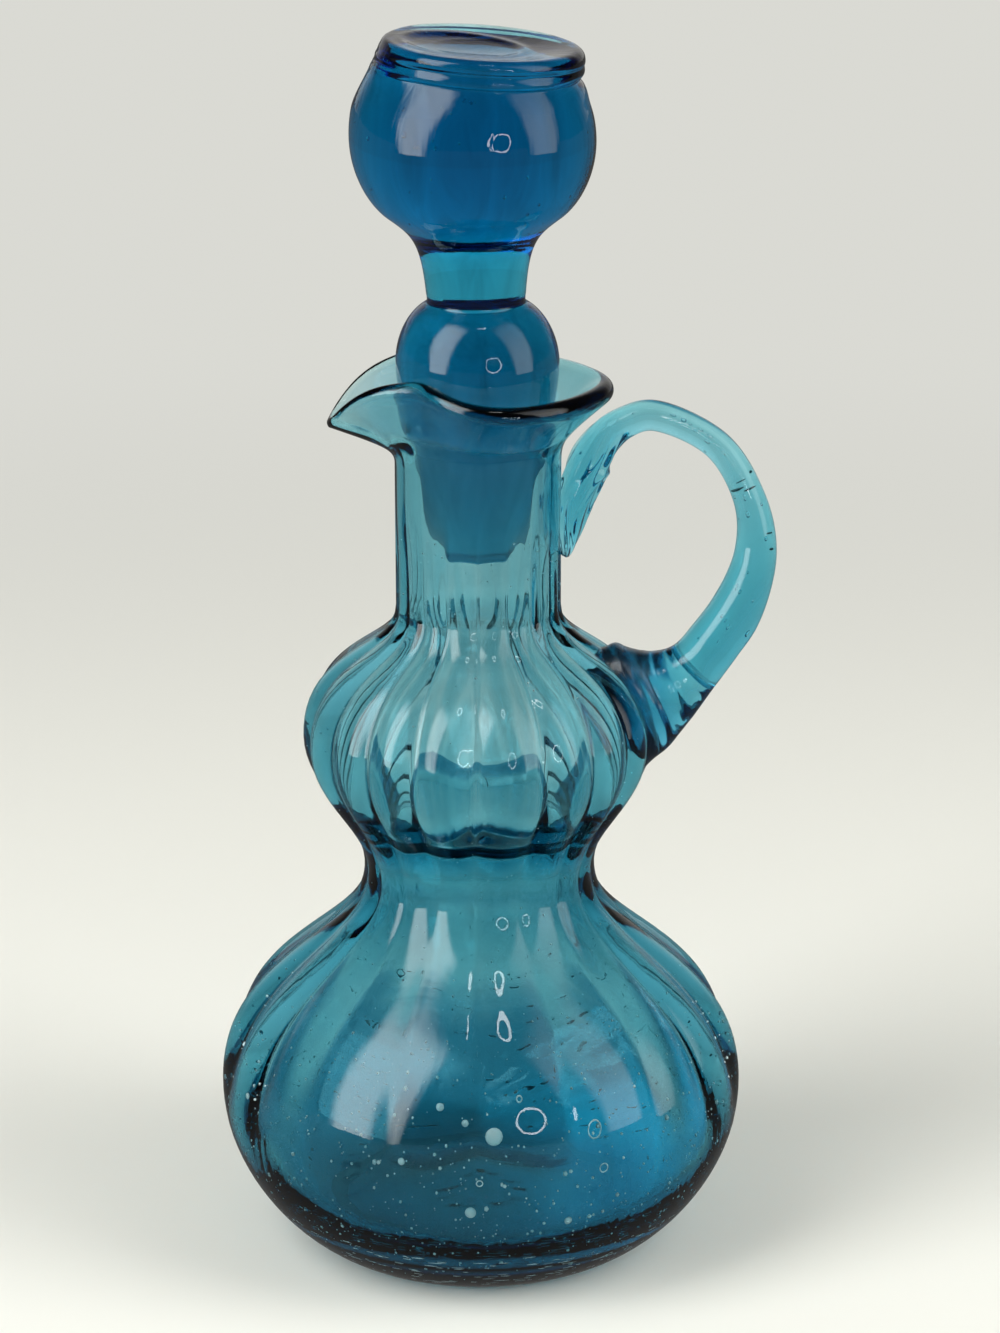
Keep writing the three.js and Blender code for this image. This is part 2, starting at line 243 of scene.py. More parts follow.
def evenly(points, number):
    """The same line with its points at equal distances along it."""
    steps = np.linalg.norm(np.diff(points, axis=0), axis=1)
    along = np.concatenate([[0], np.cumsum(steps)])
    wanted = np.linspace(0, along[-1], number)
    return np.stack([np.interp(wanted, along, column) for column in points.T], axis=1)


def smooth(low, high, value):
    """0 below low, 1 above high, and 3t^2 - 2t^3 between them."""
    t = np.clip((value - low) / (high - low), 0, 1)
    return t * t * (3 - 2 * t)


def bump(distance, width):
    """A bell: e to the minus squared share of the width."""
    return np.exp(-((distance / width) ** 2))


def mixed(low, high, part):
    return low + (high - low) * part


def spline(stops, number):
    """Smooth line through stops of any width, a cubic per stretch whose slope at a stop is that of its neighbours."""
    gaps = np.sqrt(np.linalg.norm(np.diff(stops[:, :2], axis=0), axis=1))
    knots = np.concatenate([[0], np.cumsum(gaps)])
    slopes = np.gradient(stops, knots, axis=0)
    wanted = np.linspace(0, knots[-1], number)
    stretch = np.clip(np.searchsorted(knots, wanted, side="right") - 1, 0, len(gaps) - 1)
    width = gaps[stretch][:, None]
    t = (wanted - knots[stretch])[:, None] / width
    near, far = stops[stretch], stops[stretch + 1]
    near_slope, far_slope = slopes[stretch] * width, slopes[stretch + 1] * width
    return bezier(near, near + near_slope / 3, far - far_slope / 3, far, t[:, 0])


# Meshes

def ring_faces(rows, columns):
    """Quads of a grid that closes on itself across its columns, as corner numbers."""
    row, column = np.meshgrid(np.arange(rows - 1), np.arange(columns), indexing="ij")
    following = (column + 1) % columns
    corners = [row * columns + column, row * columns + following]
    corners += [(row + 1) * columns + following, (row + 1) * columns + column]
    return np.stack(corners, axis=-1).reshape(-1, 4)


def tube_faces(rows, columns):
    """Quads of a grid that closes on itself both ways, as corner numbers."""
    row, column = np.meshgrid(np.arange(rows), np.arange(columns), indexing="ij")
    next_row, next_column = (row + 1) % rows * columns, (column + 1) % columns
    corners = [row * columns + column, next_row + column, next_row + next_column, row * columns + next_column]
    return np.stack(corners, axis=-1).reshape(-1, 4)


def fan_faces(pole, first, columns, outward):
    """Triangles from a pole to a ring of corners that starts at first."""
    column = np.arange(columns)
    ring, following = first + column, first + (column + 1) % columns
    order = [np.full(columns, pole), following, ring] if outward else [np.full(columns, pole), ring, following]
    return np.stack(order, axis=-1)


def closed_surface(grid):
    """Corners, quads and triangles of rings of points, closed at both ends by a pole at the ring's mean."""
    rows, columns, _ = grid.shape
    poles = np.stack([grid[0].mean(axis=0), grid[-1].mean(axis=0)])
    corners = np.concatenate([grid.reshape(-1, 3), poles])
    total = rows * columns
    ends = [fan_faces(total, 0, columns, True), fan_faces(total + 1, total - columns, columns, False)]
    return corners, ring_faces(rows, columns), np.concatenate(ends)


def seed_surfaces(centres, axes, radii, rows=3, columns=5):
    """Small ovals, each a sphere scaled by its three radii along its three axes."""
    polar = np.linspace(0, math.pi, rows + 2)[1:-1, None]
    corners, quads, triangles = closed_surface(lathe_grid(np.sin(polar), -np.cos(polar), full_turn(columns)))
    corners[-2:] = [[0, 0, -1], [0, 0, 1]]
    placed = np.einsum("kc,nc,ncd->nkd", corners, radii, axes) + centres[:, None, :]
    offsets = (np.arange(len(centres)) * len(corners))[:, None, None]
    return placed.reshape(-1, 3), (quads + offsets).reshape(-1, 4), (triangles + offsets).reshape(-1, 3)


def hollow(surface):
    """The same surface turned inside out, as a hollow in the glass round it."""
    corners, quads, triangles = surface
    return corners, quads[:, ::-1], triangles[:, ::-1]


def linked_object(name, data):
    """A new object, put into the scene."""
    made = bpy.data.objects.new(name, data)
    bpy.context.scene.collection.objects.link(made)
    return made


def make_piece(name, glass_surfaces, fleck_surfaces, materials):
    """One object from closed surfaces of glass and of small things in it, each as corners, quads and triangles."""
    corners, faces, slots, first = [], [], [], 0
    for slot, surfaces in enumerate((glass_surfaces, fleck_surfaces)):
        for points, quads, triangles in surfaces:
            corners.append(points)
            faces += (quads + first).tolist() + (triangles + first).tolist()
            slots += [slot] * (len(quads) + len(triangles))
            first += len(points)
    mesh = bpy.data.meshes.new(name)
    mesh.from_pydata(np.concatenate(corners), [], faces)
    for material in materials:
        mesh.materials.append(material)
    mesh.polygons.foreach_set("use_smooth", np.ones(len(faces), bool))
    mesh.polygons.foreach_set("material_index", np.array(slots, dtype=np.int32))
    mesh.update()
    mesh.validate()
    return linked_object(name, mesh)


def lathe_grid(radius, height, turn):
    """Points at a radius and height round the Z axis, where all three are arrays of rows by columns."""
    return np.stack([radius * np.cos(turn), radius * np.sin(turn), height + 0 * turn], axis=-1)


def full_turn(columns):
    return np.arange(columns) / columns * 2 * math.pi


# Bottle

# Flare: shares of the way out to the rim that its curve rises, spreads and turns by, at its sides and its pinches
FLARE_RISE = 0.35
FLARE_SPREAD = (0.06, 0.8)
FLARE_TURN = (0.42, 0.5)
FLARE_THIN = 0.5 * MM
FLARE_ROWS = 24
# Rim: the tilt of its round edge, its pinches, its spout and how far it reaches out towards the handle
EDGE_TILT = math.radians(45)
EDGE_ROWS = 15
PINCH_ANGLE = math.radians(128)
PINCH_WIDTH = math.radians(30)
SPOUT_WIDTH = math.radians(20)
SPOUT_DROP_WIDTH = math.radians(16)
SPOUT_THIN = 0.4
HEEL_WIDTH = math.radians(22)
HEEL_REACH = 1.4 * MM
# Ribs: heights between which they come in on the lower bulb, take on the waist's depth and go out up the neck
RIB_FADE = (24 * MM, 46 * MM)
RIB_RISE = (56 * MM, 76 * MM)
RIB_END = (140 * MM, 155 * MM)
RIB_LEFT = 0.25
RIB_SOFTNESS = 0.06
# How broad their valleys are at the front, on the flanks and on the upper bulb, and how much deeper on the flanks
RIB_POWERS = (0.6, 1.2, 0.95)
RIB_FLANK = 2.9
FLANK_EDGE = (0.6, 0.85)
FLANK_TOP = (50 * MM, 72 * MM)
INNER_RIB = 0.3
INNER_WAVE = 0.3 * MM
SHELF_HEIGHT = 90 * MM
SHELF_WAVE = 0.4 * MM
BASE_ROWS = 21
SCAR_DEPTH = 0.9 * MM
SCAR_WIDTH = 1.1 * MM
BOTTLE_COLUMNS = 216


def bottle_turns(size):
    """The turns of the bottle's outline from its base to its neck."""
    return [
        Turn(size.base_radius, 0.0, leave=(10, 4.5)),
        Turn(size.bulb_radius, size.bulb_height, (0, 14), (0, 28)),
        Turn(size.waist_radius, size.waist_height, (0, 17), (0, 9)),
        Turn(size.upper_radius, size.upper_height, (0, 11), (0, 18)),
        Turn(size.neck_radius, size.neck_foot, (0, 9.5)),
    ]


def bottle_outline(size, number=100):
    """Radius and height up the outside, from the base's edge to the top of the neck."""
    turns = bottle_turns(size)
    spans = [span(low, high)[:-1] for low, high in zip(turns, turns[1:])]
    neck = np.array([[size.neck_radius, size.neck_foot], [size.neck_radius, size.neck_top]])
    return evenly(np.concatenate([*spans, neck]), number)


def rib_depth(size, height):
    """Depth of the valleys: nothing at the heel, little on the big bulb and the neck, and most on the upper bulb."""
    low = mixed(size.rib_bulb * smooth(*RIB_FADE, height), size.rib_waist, smooth(*RIB_RISE, height))
    middle = mixed(low, size.rib_upper, smooth(size.waist_height + 4 * MM, size.upper_height - 12 * MM, height))
    neck = size.rib_neck * mixed(1, RIB_LEFT, smooth(*RIB_END, height))
    return mixed(middle, neck, smooth(size.upper_height + 9 * MM, size.neck_foot, height))


def rib_valley(size, turn, height):
    """0 on a rib's crest and 1 in the valley: one minus a power of a softened cosine.

    The ribs drift a little round the bottle, as hand-turned ribs do. On the lower bulb the valleys are narrow at the
    front and back, and broad and the deepest on its flanks. On the upper bulb the ribs are round."""
    drift = 0.02 * np.sin(3 * turn + 1.0) + 0.012 * np.sin(5 * turn + 40 * height)
    wave = np.cos(size.ribs / 2 * (turn + drift))
    crest = np.sqrt(wave**2 + RIB_SOFTNESS**2) / math.sqrt(1 + RIB_SOFTNESS**2)
    front, side, upper = RIB_POWERS
    on_upper = smooth(size.waist_height, size.upper_height - 8 * MM, height)
    on_flank = smooth(*FLANK_EDGE, np.abs(np.cos(turn))) * (1 - smooth(*FLANK_TOP, height))
    power = mixed(mixed(front, side, on_flank), upper, on_upper)
    return (1 - crest**power) * (1 + RIB_FLANK * on_flank)


def hand_wobble(turn, height):
    """How far from round the blown wall is, as a share of its radius: slow waves round and up it."""
    return 1 + 0.0035 * np.cos(2 * turn + 1.3 + 18 * height) + 0.0025 * np.cos(3 * turn - 31 * height)


def inner_waves(turn, height):
    """Slow unevenness of the inside of the wall: the mean of three waves that cross each other."""
    first = np.sin(7 * turn + 70 * height)
    second = np.sin(4 * turn - 110 * height + 2.0)
    third = np.sin(11 * turn + 190 * height + 1.0)
    return INNER_WAVE * (first + second + third) / 3


def shelf_waves(turn, height):
    """Unevenness of the shelf over the waist, outward and upward: waves of a few turns, fading above and below it."""
    near = SHELF_WAVE * bump(height - SHELF_HEIGHT, 8 * MM)
    outward = 0.5 * np.sin(3 * turn + 0.7) + 0.3 * np.sin(5 * turn + 2.1)
    outward = outward + 0.3 * np.sin(9 * turn + 260 * height)
    return near * outward, near * (0.5 * np.sin(2 * turn + 1.2) + 0.3 * np.sin(7 * turn))


def pinched(turn):
    """How far round from the handle each angle is, and 1 in the two places where the rim is pinched."""
    off_handle = np.abs(np.arctan2(np.sin(turn), np.cos(turn)))
    return off_handle, bump(off_handle - PINCH_ANGLE, PINCH_WIDTH)


def lip_half(size, turn):
    """Half the thickness of the rim, which is thinner at the spout."""
    off_spout = math.pi - pinched(turn)[0]
    return size.lip_thickness / 2 * (1 - SPOUT_THIN * bump(off_spout, SPOUT_WIDTH))


def rim(size, turn):
    """Outer radius and top of the rim: pinched in and lifted beside a spout that is drawn out and down."""
    off_handle, pinch = pinched(turn)
    off_spout = math.pi - off_handle
    radius = size.lip_radius - size.pinch * pinch + size.spout * bump(off_spout, SPOUT_WIDTH)
    radius = radius + HEEL_REACH * bump(off_handle, HEEL_WIDTH)
    height = size.lip_height + size.pinch_lift * pinch - size.spout_drop * bump(off_spout, SPOUT_DROP_WIDTH)
    return radius, height


def flare_points(size, turn):
    """The four points of the flare's curve at each angle, from the top of the neck to the rim's round edge."""
    radius, top = rim(size, turn)
    pinch = pinched(turn)[1]
    half = lip_half(size, turn)
    end = np.stack([radius - half * (1 - math.cos(EDGE_TILT)), top - half * (1 + math.sin(EDGE_TILT))], axis=-1)
    start = np.broadcast_to([size.neck_radius, size.neck_top], end.shape)
    reach = end - start
    turned = np.stack([mixed(*FLARE_SPREAD, pinch), mixed(*FLARE_TURN, pinch)], axis=-1)
    return start, start + reach * [0, FLARE_RISE], start + reach * turned, end


def bottle_grid(size):
    """Rings under the base, up the outside, over the rim and down the inside to the floor's middle.

    Outside, the outline's radius loses the rib depth times the valley. Inside, the wall's thickness is set in
    square to the outline, and the ribs show again, shallower."""
    turn = full_turn(BOTTLE_COLUMNS)
    outline = bottle_outline(size)
    radius, height = outline[:, :1], outline[:, 1:]
    outside = radius - rib_depth(size, height) * rib_valley(size, turn, height)
    parts = [base_grid(size, turn), lathe_grid(outside, height, turn)]

    curve = [corner[None] for corner in flare_points(size, turn)]
    up = np.linspace(0, 1, FLARE_ROWS)[:, None]
    flare = bezier(*curve, up)
    rib = rib_depth(size, size.neck_top) * (1 - up) * rib_valley(size, turn, size.neck_top)
    parts.append(lathe_grid(flare[..., 0] - rib, flare[..., 1], turn)[1:])

    rim_radius, rim_top = rim(size, turn)
    half = lip_half(size, turn)
    over = np.linspace(-EDGE_TILT, math.pi - EDGE_TILT, EDGE_ROWS)[1:-1, None]
    edge_height = rim_top - half + half * np.sin(over)
    parts.append(lathe_grid(rim_radius - half * (1 - np.cos(over)), edge_height, turn))

    slope = bezier_slope(*curve, up)
    edge = np.array([math.sin(EDGE_TILT), math.cos(EDGE_TILT)])
    slope = mixed(slope, edge, smooth(0.6, 1, up)[..., None])
    slope = slope / np.linalg.norm(slope, axis=-1, keepdims=True)
    wall = mixed(size.neck_wall, 2 * half, smooth(0.5, 1, up)) - FLARE_THIN * bump(up - 0.5, 0.2)
    inner_flare = lathe_grid(flare[..., 0] - wall * slope[..., 1], flare[..., 1] + wall * slope[..., 0], turn)
    parts.append(inner_flare[::-1])

    inside = inside_outline(size)
    radius, height = inside[:, :1], inside[:, 1:]
    swell = INNER_RIB * rib_depth(size, height) * np.maximum(0, 1 - rib_valley(size, turn, height))
    waves = inner_waves(turn, height) * smooth(size.floor, size.bulb_height, height)
    fade = smooth(size.neck_top, size.neck_foot, height)
    outward, upward = shelf_waves(turn, height)
    parts.append(lathe_grid(radius - (swell + waves) * fade + outward, height + upward, turn)[::-1][1:])

    grid = np.concatenate(parts)
    grid[..., :2] *= hand_wobble(turn, grid[..., 2])[..., None]
    return grid


def base_grid(size, turn):
    """Rings of the underside: a flat standing ring, a shallow kick and a rough scar in the middle of it."""
    out = np.linspace(0.04, 1, BASE_ROWS)[:-1, None]
    radius = size.base_radius * out
    kick = size.kick * (1 - smooth(0.35, 0.86, out))
    uneven = 0.45 + 0.25 * np.sin(5 * turn) + 0.15 * np.sin(11 * turn + 2)
    scar = SCAR_DEPTH * bump(radius - size.pontil, SCAR_WIDTH) * uneven
    return lathe_grid(radius + 0 * turn, kick - scar, turn)


def inside_turns(size):
    """The turns of the inside, from the middle of the floor to the neck.

    The glass is thick at the heel and at the waist, whose bore opens over a shelf into the upper bulb."""
    bore = size.waist_radius - size.waist_wall
    return [
        Turn(0.0, size.floor, leave=(24, 0)),
        Turn(36.5 * MM, size.floor + 3 * MM, (3.2, 2.2), (3, 4.2)),
        Turn(size.bulb_radius - size.wall, size.bulb_height + 1 * MM, (0, 14), (0, 24.5)),
        Turn(bore, size.waist_height - 3 * MM, (0, 15), (0, 3)),
        Turn(bore, size.waist_height + 9.6 * MM, (0, 3), (0, 1.2)),
        Turn(size.upper_radius - 10.2 * MM, size.upper_height - 14 * MM, (6, 0.9), (1.3, 2.4)),
        Turn(size.upper_radius - size.upper_wall, size.upper_height + 0.5 * MM, (0, 8.6), (0, 15.2)),
        Turn(size.neck_radius - size.neck_wall, size.neck_foot - 1.8 * MM, (0, 8.2)),
    ]


# Rings on each stretch of the inside, few where it is straight and enough to keep the shelf's corner sharp
INSIDE_STEPS = (12, 12, 30, 3, 12, 22, 24)


def inside_outline(size, finer=1):
    """Radius and height up the inside, from the middle of the floor to the top of the neck."""
    turns = inside_turns(size)
    stretches = zip(turns, turns[1:], INSIDE_STEPS)
    spans = [evenly(span(low, high), steps * finer + 1)[:-1] for low, high, steps in stretches]
    neck_height = np.linspace(turns[-1].height, size.neck_top, 10 * finer)
    neck = np.stack([np.full_like(neck_height, turns[-1].radius), neck_height], axis=1)
    line = np.concatenate([*spans, neck])
    line[0, 0] = line[1, 0] / 4
    return line


def outside_radius(size, height, turn):
    """Radius of the bottle's outside on the handle's side, from its base to its rim."""
    outline = bottle_outline(size)
    start, low, high, end = flare_points(size, np.zeros(1))
    flare = bezier(start, low, high, end, np.linspace(0, 1, 30))
    line = np.concatenate([outline, flare[1:]])
    radius = np.interp(height, line[:, 1], line[:, 0])
    radius = radius - rib_depth(size, height) * rib_valley(size, turn, height) * (height < size.neck_top)
    return radius * hand_wobble(turn, height)


# Angle in degrees from the handle, height and radius in millimetres of the seeds that stand out
LARGE_SEEDS = [(-86.8, 41, 1.7), (-92, 25.5, 1.1), (-93.2, 43.4, 0.7), (-99, 46, 0.8), (-107, 35.4, 0.7)]
LARGE_SEEDS += [(-70, 22, 0.8), (75, 14, 0.9), (205, 37, 0.6), (20, 30, 0.7), (140, 20, 0.8)]
# The same, and the height as a share of the width, of the larger bubbles whose round edge shows as a ring, drawn as a
# thin pale ring that is a painted glint on the bubble's edge
BUBBLE_RINGS = [(-64.1, 40.5, 1.35, 1.4), (-62.5, 32.6, 0.85, 1.05), (-90, 32, 0.6, 1.0), (-80.8, 47.5, 0.5, 1.4)]
BUBBLE_RINGS += [(110, 38, 1.2, 1.2), (40, 30, 0.8, 1.1)]
RING_LINE = 0.13 * MM
# Small seeds: the share of them low on the big bulb, where they lie, their usual radius and its spread and limits
LOW_SEEDS = 0.74
LOW_BAND = (4 * MM, 62 * MM)
HIGH_BAND = (50 * MM, 150 * MM)
SEED_RADIUS = 0.19 * MM
SEED_SPREAD = 0.45
SEED_LIMITS = (0.1 * MM, 0.55 * MM)
SEED_DEPTHS = (0.5, 0.78)
FINE_SEEDS = 0.55
# Dashes: one for so many seeds, how far round the front they spread, and their heights, half lengths and half widths
SEEDS_PER_DASH = 14
DASH_SPREAD = 0.9
DASH_HEIGHTS = (2.5, 13)
DASH_LENGTHS = (0.4, 1.8)
DASH_WIDTHS = (0.11, 0.2)


def wall_frame(turn):
    """Unit directions along, up and out of the wall at each angle, as rows by three axes by three numbers."""
    zero = np.zeros_like(turn)
    along = np.stack([-np.sin(turn), np.cos(turn), zero], axis=-1)
    upward = np.stack([zero, zero, zero + 1], axis=-1)
    outward = np.stack([np.cos(turn), np.sin(turn), zero], axis=-1)
    return np.stack([along, upward, outward], axis=1)


def in_wall(size, turn, height, deep):
    """Points in the bottle's wall, deep being 0 on its inside and 1 outside, with the wall's thickness there."""
    outline, inside = bottle_outline(size, 400), inside_outline(size, 4)
    outer = np.interp(height, outline[:, 1], outline[:, 0]) - 0.6 * rib_depth(size, height)
    inner = np.interp(height, inside[:, 1], inside[:, 0])
    inner = np.maximum(inner, outer - size.floor)
    reach = mixed(inner, outer, deep) * hand_wobble(turn, height)
    return lathe_grid(reach, height, turn), outer - inner


def bottle_seeds(size, number):
    """Seeds in the wall: drawn at random, most low on the big bulb, flattened to lie in the wall."""
    draw = np.random.default_rng(11)
    low = int(number * LOW_SEEDS)
    height = np.concatenate([mixed(*LOW_BAND, draw.beta(1.5, 1.9, low)), draw.uniform(*HIGH_BAND, number - low)])
    turn = draw.uniform(0, 2 * math.pi, number)
    radius = np.exp(draw.normal(math.log(SEED_RADIUS), SEED_SPREAD, number)).clip(*SEED_LIMITS)
    radius = radius * mixed(1, FINE_SEEDS, smooth(40 * MM, 60 * MM, height))
    centres, wall = in_wall(size, turn, height, draw.uniform(*SEED_DEPTHS, number))
    stretch = draw.uniform(1.0, 1.35, number)
    radii = np.stack([radius, radius * stretch, np.minimum(radius, 0.14 * wall)], axis=1)
    return seed_surfaces(centres, wall_frame(turn), radii, rows=2)


def large_seeds(size):
    """The few seeds that stand out, as flat rounds in the wall."""
    turn, height, radius = np.array(LARGE_SEEDS).T
    turn, radius = np.radians(turn), radius * MM
    centres, wall = in_wall(size, turn, height * MM, np.full(len(turn), 0.7))
    radii = np.stack([radius, radius * 1.1, np.minimum(radius, 0.1 * wall)], axis=1)
    return seed_surfaces(centres, wall_frame(turn), radii, 9, 14)


def heel_dashes(size, number):
    """Seeds drawn out level round the heel: long thin ovals just under the outside, most of them at the front."""
    draw = np.random.default_rng(13)
    turn = draw.normal(-math.pi / 2, DASH_SPREAD, number)
    height = draw.uniform(*DASH_HEIGHTS, number) * MM
    centres, wall = in_wall(size, turn, height, np.full(number, 0.86))
    thin = draw.uniform(*DASH_WIDTHS, number) * MM
    radii = np.stack([draw.uniform(*DASH_LENGTHS, number) * MM, thin, thin], axis=1)
    return seed_surfaces(centres, wall_frame(turn), radii)


def bubble_rings(size):
    """Thin rings in the wall: a small circle carried round an oval that lies in the wall, pale as a painted glint on a
    bubble's round edge.
    """
    turn, height, wide, tall = np.array(BUBBLE_RINGS).T
    turn, height = np.radians(turn), height * MM
    rows, columns = 24, 6
    around, small = np.meshgrid(full_turn(rows), full_turn(columns), indexing="ij")
    reach = wide[:, None, None] * MM + RING_LINE * np.cos(small)
    oval = np.stack([reach * np.cos(around), reach * tall[:, None, None] * np.sin(around)], axis=-1)
    flat = np.broadcast_to(RING_LINE * np.sin(small), reach.shape)[..., None]
    local = np.concatenate([oval, flat], axis=-1).reshape(len(turn), -1, 3)
    centres, wall = in_wall(size, turn, height, np.full(len(turn), 0.8))
    points = np.einsum("nij,njk->nik", local, wall_frame(turn)) + centres[:, None]
    quads = tube_faces(rows, columns) + np.arange(len(turn))[:, None, None] * rows * columns
    return points.reshape(-1, 3), quads.reshape(-1, 4), np.zeros((0, 3), int)


# Handle

# Middle line as x and z, half the thickness seen from the side and half the width across, in millimetres
HANDLE_ROUTE = np.array(
    [
        (27, 110.8, 13.5, 9),
        (33.5, 113.6, 10.8, 8.2),
        (38.2, 116.2, 7.8, 7.2),
        (42.3, 119.6, 5.9, 5.9),
        (46.8, 125.2, 5.4, 5.8),
        (50.5, 131, 5.2, 5.6),
        (54.4, 142.8, 4.2, 4.9),
        (53, 154.6, 3.2, 3.9),
        (46.6, 165.2, 2.9, 3.2),
        (34.2, 171.2, 3, 3.2),
        (28.4, 169.7, 3.1, 3.6),
        (24.6, 166.9, 3.5, 4.4),
        (21.9, 162.8, 3.9, 5),
        (20, 157, 3.8, 5.6),
        (18.4, 150, 2.8, 5.2),
        (17, 143.2, 1.2, 2.8),
    ]
)
PAD_END = 3
# Places on the loop as x and z, shifts towards its outside, and half sizes along side, across and lengthwise
FLAKE_PLACES = [(51.9, 157.2), (52.4, 156.6), (51.3, 158.4), (53.7, 147.5), (54, 144.6), (52.8, 160)]
FLAKE_SHIFTS = [-1.3, 0.6, -0.2, 1.9, 2.2, 2.0]
FLAKE_SIZES = [(1.3, 1.2, 0.22), (1.1, 0.9, 0.14), (0.8, 0.5, 0.10)]
FLAKE_SIZES += [(0.7, 0.4, 0.18), (0.5, 0.5, 0.25), (0.4, 0.4, 0.3)]
FLAKE_FORWARD = 1.2 * MM
ROUTE_STEPS = 1400
HANDLE_COLUMNS = 56
PAD_ROWS = 150
LOOP_ROWS = 420
LOOP_OVERLAP = 0.0015
TAIL_ROUND = 0.02


def route_part(first, last, number):
    """Part of the handle's middle line between two shares of it, in metres, with its direction."""
    line = spline(HANDLE_ROUTE, ROUTE_STEPS) * MM
    low, high = int(first * (ROUTE_STEPS - 1)), int(last * (ROUTE_STEPS - 1))
    line = evenly(line[low : high + 1], number)
    slope = np.gradient(line[:, :2], axis=0)
    return line, slope / np.linalg.norm(slope, axis=1, keepdims=True)


def pad_share():
    """Share of the route at which the pad ends."""
    line = spline(HANDLE_ROUTE, ROUTE_STEPS)
    return np.argmin(np.hypot(*(line[:, :2] - HANDLE_ROUTE[PAD_END, :2]).T)) / (ROUTE_STEPS - 1)


def rod_grid(line, slope, swell):
    """Oval rings along a line: the side and across half sizes times the swell, square to the line."""
    turn = full_turn(HANDLE_COLUMNS)
    sideways = line[:, 2:3] * swell * np.cos(turn)
    across = line[:, 3:4] * swell * np.sin(turn)
    x = line[:, :1] + slope[:, 1:] * sideways
    z = line[:, 1:2] - slope[:, :1] * sideways
    return np.stack([x, across, z], axis=-1)


def pushed_clear(size, grid, gap):
    """Points that lie inside the bottle are moved straight out from its axis to just off its outside."""
    reach = np.hypot(grid[..., 0], grid[..., 1])
    turn = np.arctan2(grid[..., 1], grid[..., 0])
    clear = outside_radius(size, grid[..., 2], turn) + gap
    grid[..., :2] *= np.maximum(1, clear / reach)[..., None]
    return grid


def pad_grid(size, handle):
    """The crimped pad: rings whose size ripples along the pad, most where it meets the bottle, with a nub on top."""
    line, slope = route_part(0, pad_share(), PAD_ROWS)
    along = np.linspace(0, 1, PAD_ROWS)[:, None]
    turn = full_turn(HANDLE_COLUMNS)
    uneven = 1.4 * np.sin(2 * turn + 5 * along) + 0.8 * np.sin(3 * turn + 1)
    ripple = np.sin(along * handle.crimps * 2 * math.pi + uneven)
    crinkle = np.sin(along * handle.crimps * 5 * math.pi + 3 * np.sin(2 * turn + 1) + 4 * np.cos(turn))
    swell = 1 + handle.crimp_depth * (ripple + 0.25 * crinkle) * (1 - along) * np.abs(np.sin(turn)) ** 1.3
    nub = 0.10 * bump(along - 0.30, 0.12) * bump(np.cos(turn) + 1, 0.5)
    return pushed_clear(size, rod_grid(line, slope, swell + nub), -handle.sunk)


def loop_grid(size, handle):
    """The drawn loop: oval rings with slow draw waves, whose folded tail is pressed flat on the neck."""
    line, slope = route_part(pad_share() - LOOP_OVERLAP, 1, LOOP_ROWS)
    along = np.linspace(0, 1, LOOP_ROWS)[:, None]
    turn = full_turn(HANDLE_COLUMNS)
    waves = 0.012 * np.sin(37 * along + 2 * np.cos(turn)) + 0.008 * np.sin(5 * turn + 9 * along)
    fold = 0.09 * np.sin(3 * turn + 14 * along) + 0.05 * np.sin(8 * turn + 3 * np.sin(26 * along) + 1)
    step = 0.12 * bump(along - 0.815, 0.012) * smooth(0.2, 0.9, -np.cos(turn))
    swell = 1 + waves * smooth(0, 0.05, along) + fold * smooth(0.66, 0.80, along) + step
    into_tail = 0.6 * np.clip(1 - (1 - along) / TAIL_ROUND, 0, 1)
    return pushed_clear(size, rod_grid(line, slope, swell * np.sqrt(1 - into_tail**2)), -handle.sunk)


def rod_frame(forward):
    """Unit directions to the side of the rod, across it and along it, from its direction in x and z."""
    zero = np.zeros(len(forward))
    side = np.stack([forward[:, 1], zero, -forward[:, 0]], axis=1)
    lengthwise = np.stack([forward[:, 0], zero, forward[:, 1]], axis=1)
    return np.stack([side, np.broadcast_to([0.0, 1.0, 0.0], side.shape), lengthwise], axis=1)


def rod_seeds(number):
    """Hollows drawn out along the loop, at random places well inside its section."""
    draw = np.random.default_rng(23)
    line, slope = route_part(pad_share() + 0.03, 0.8, 300)
    pick = draw.integers(0, len(line), number)
    turn, deep = draw.uniform(0, 2 * math.pi, number), draw.uniform(0.1, 0.6, number)
    place, axes = line[pick], rod_frame(slope[pick])
    sideways, across = place[:, 2] * deep * np.cos(turn), place[:, 3] * deep * np.sin(turn)
    centres = np.stack([place[:, 0], across, place[:, 1]], axis=1) + axes[:, 0] * sideways[:, None]
    radius = draw.uniform(0.12, 0.26, number) * MM
    radii = np.stack([radius, radius, radius * draw.uniform(1.5, 4, number)], axis=1)
    return seed_surfaces(centres, axes, radii)


def rod_flakes():
    """Thin dark flakes square across the loop, whose near-black tone is a painted shade that stands in for the dark
    look of a thin flattened hollow in the rod.
    """
    line, slope = route_part(0, 1, 2000)
    places = np.array(FLAKE_PLACES) * MM
    near = np.argmin(np.linalg.norm(line[None, :, :2] - places[:, None], axis=-1), axis=1)
    place, axes = line[near], rod_frame(slope[near])
    middle = np.stack([place[:, 0], np.full(len(near), -FLAKE_FORWARD), place[:, 1]], axis=1)
    centres = middle + axes[:, 0] * np.array(FLAKE_SHIFTS)[:, None] * MM
    return seed_surfaces(centres, axes, np.array(FLAKE_SIZES) * MM)


# Stopper

STOPPER_COLUMNS = 176
# Rings on each stretch of the outline
STOPPER_STEPS = (6, 8, 44, 22, 8, 26, 22, 34, 7, 6, 6, 12, 22, 22)
DISH_SHIFT = 3.2 * MM
DISH_RING = 11.5 * MM


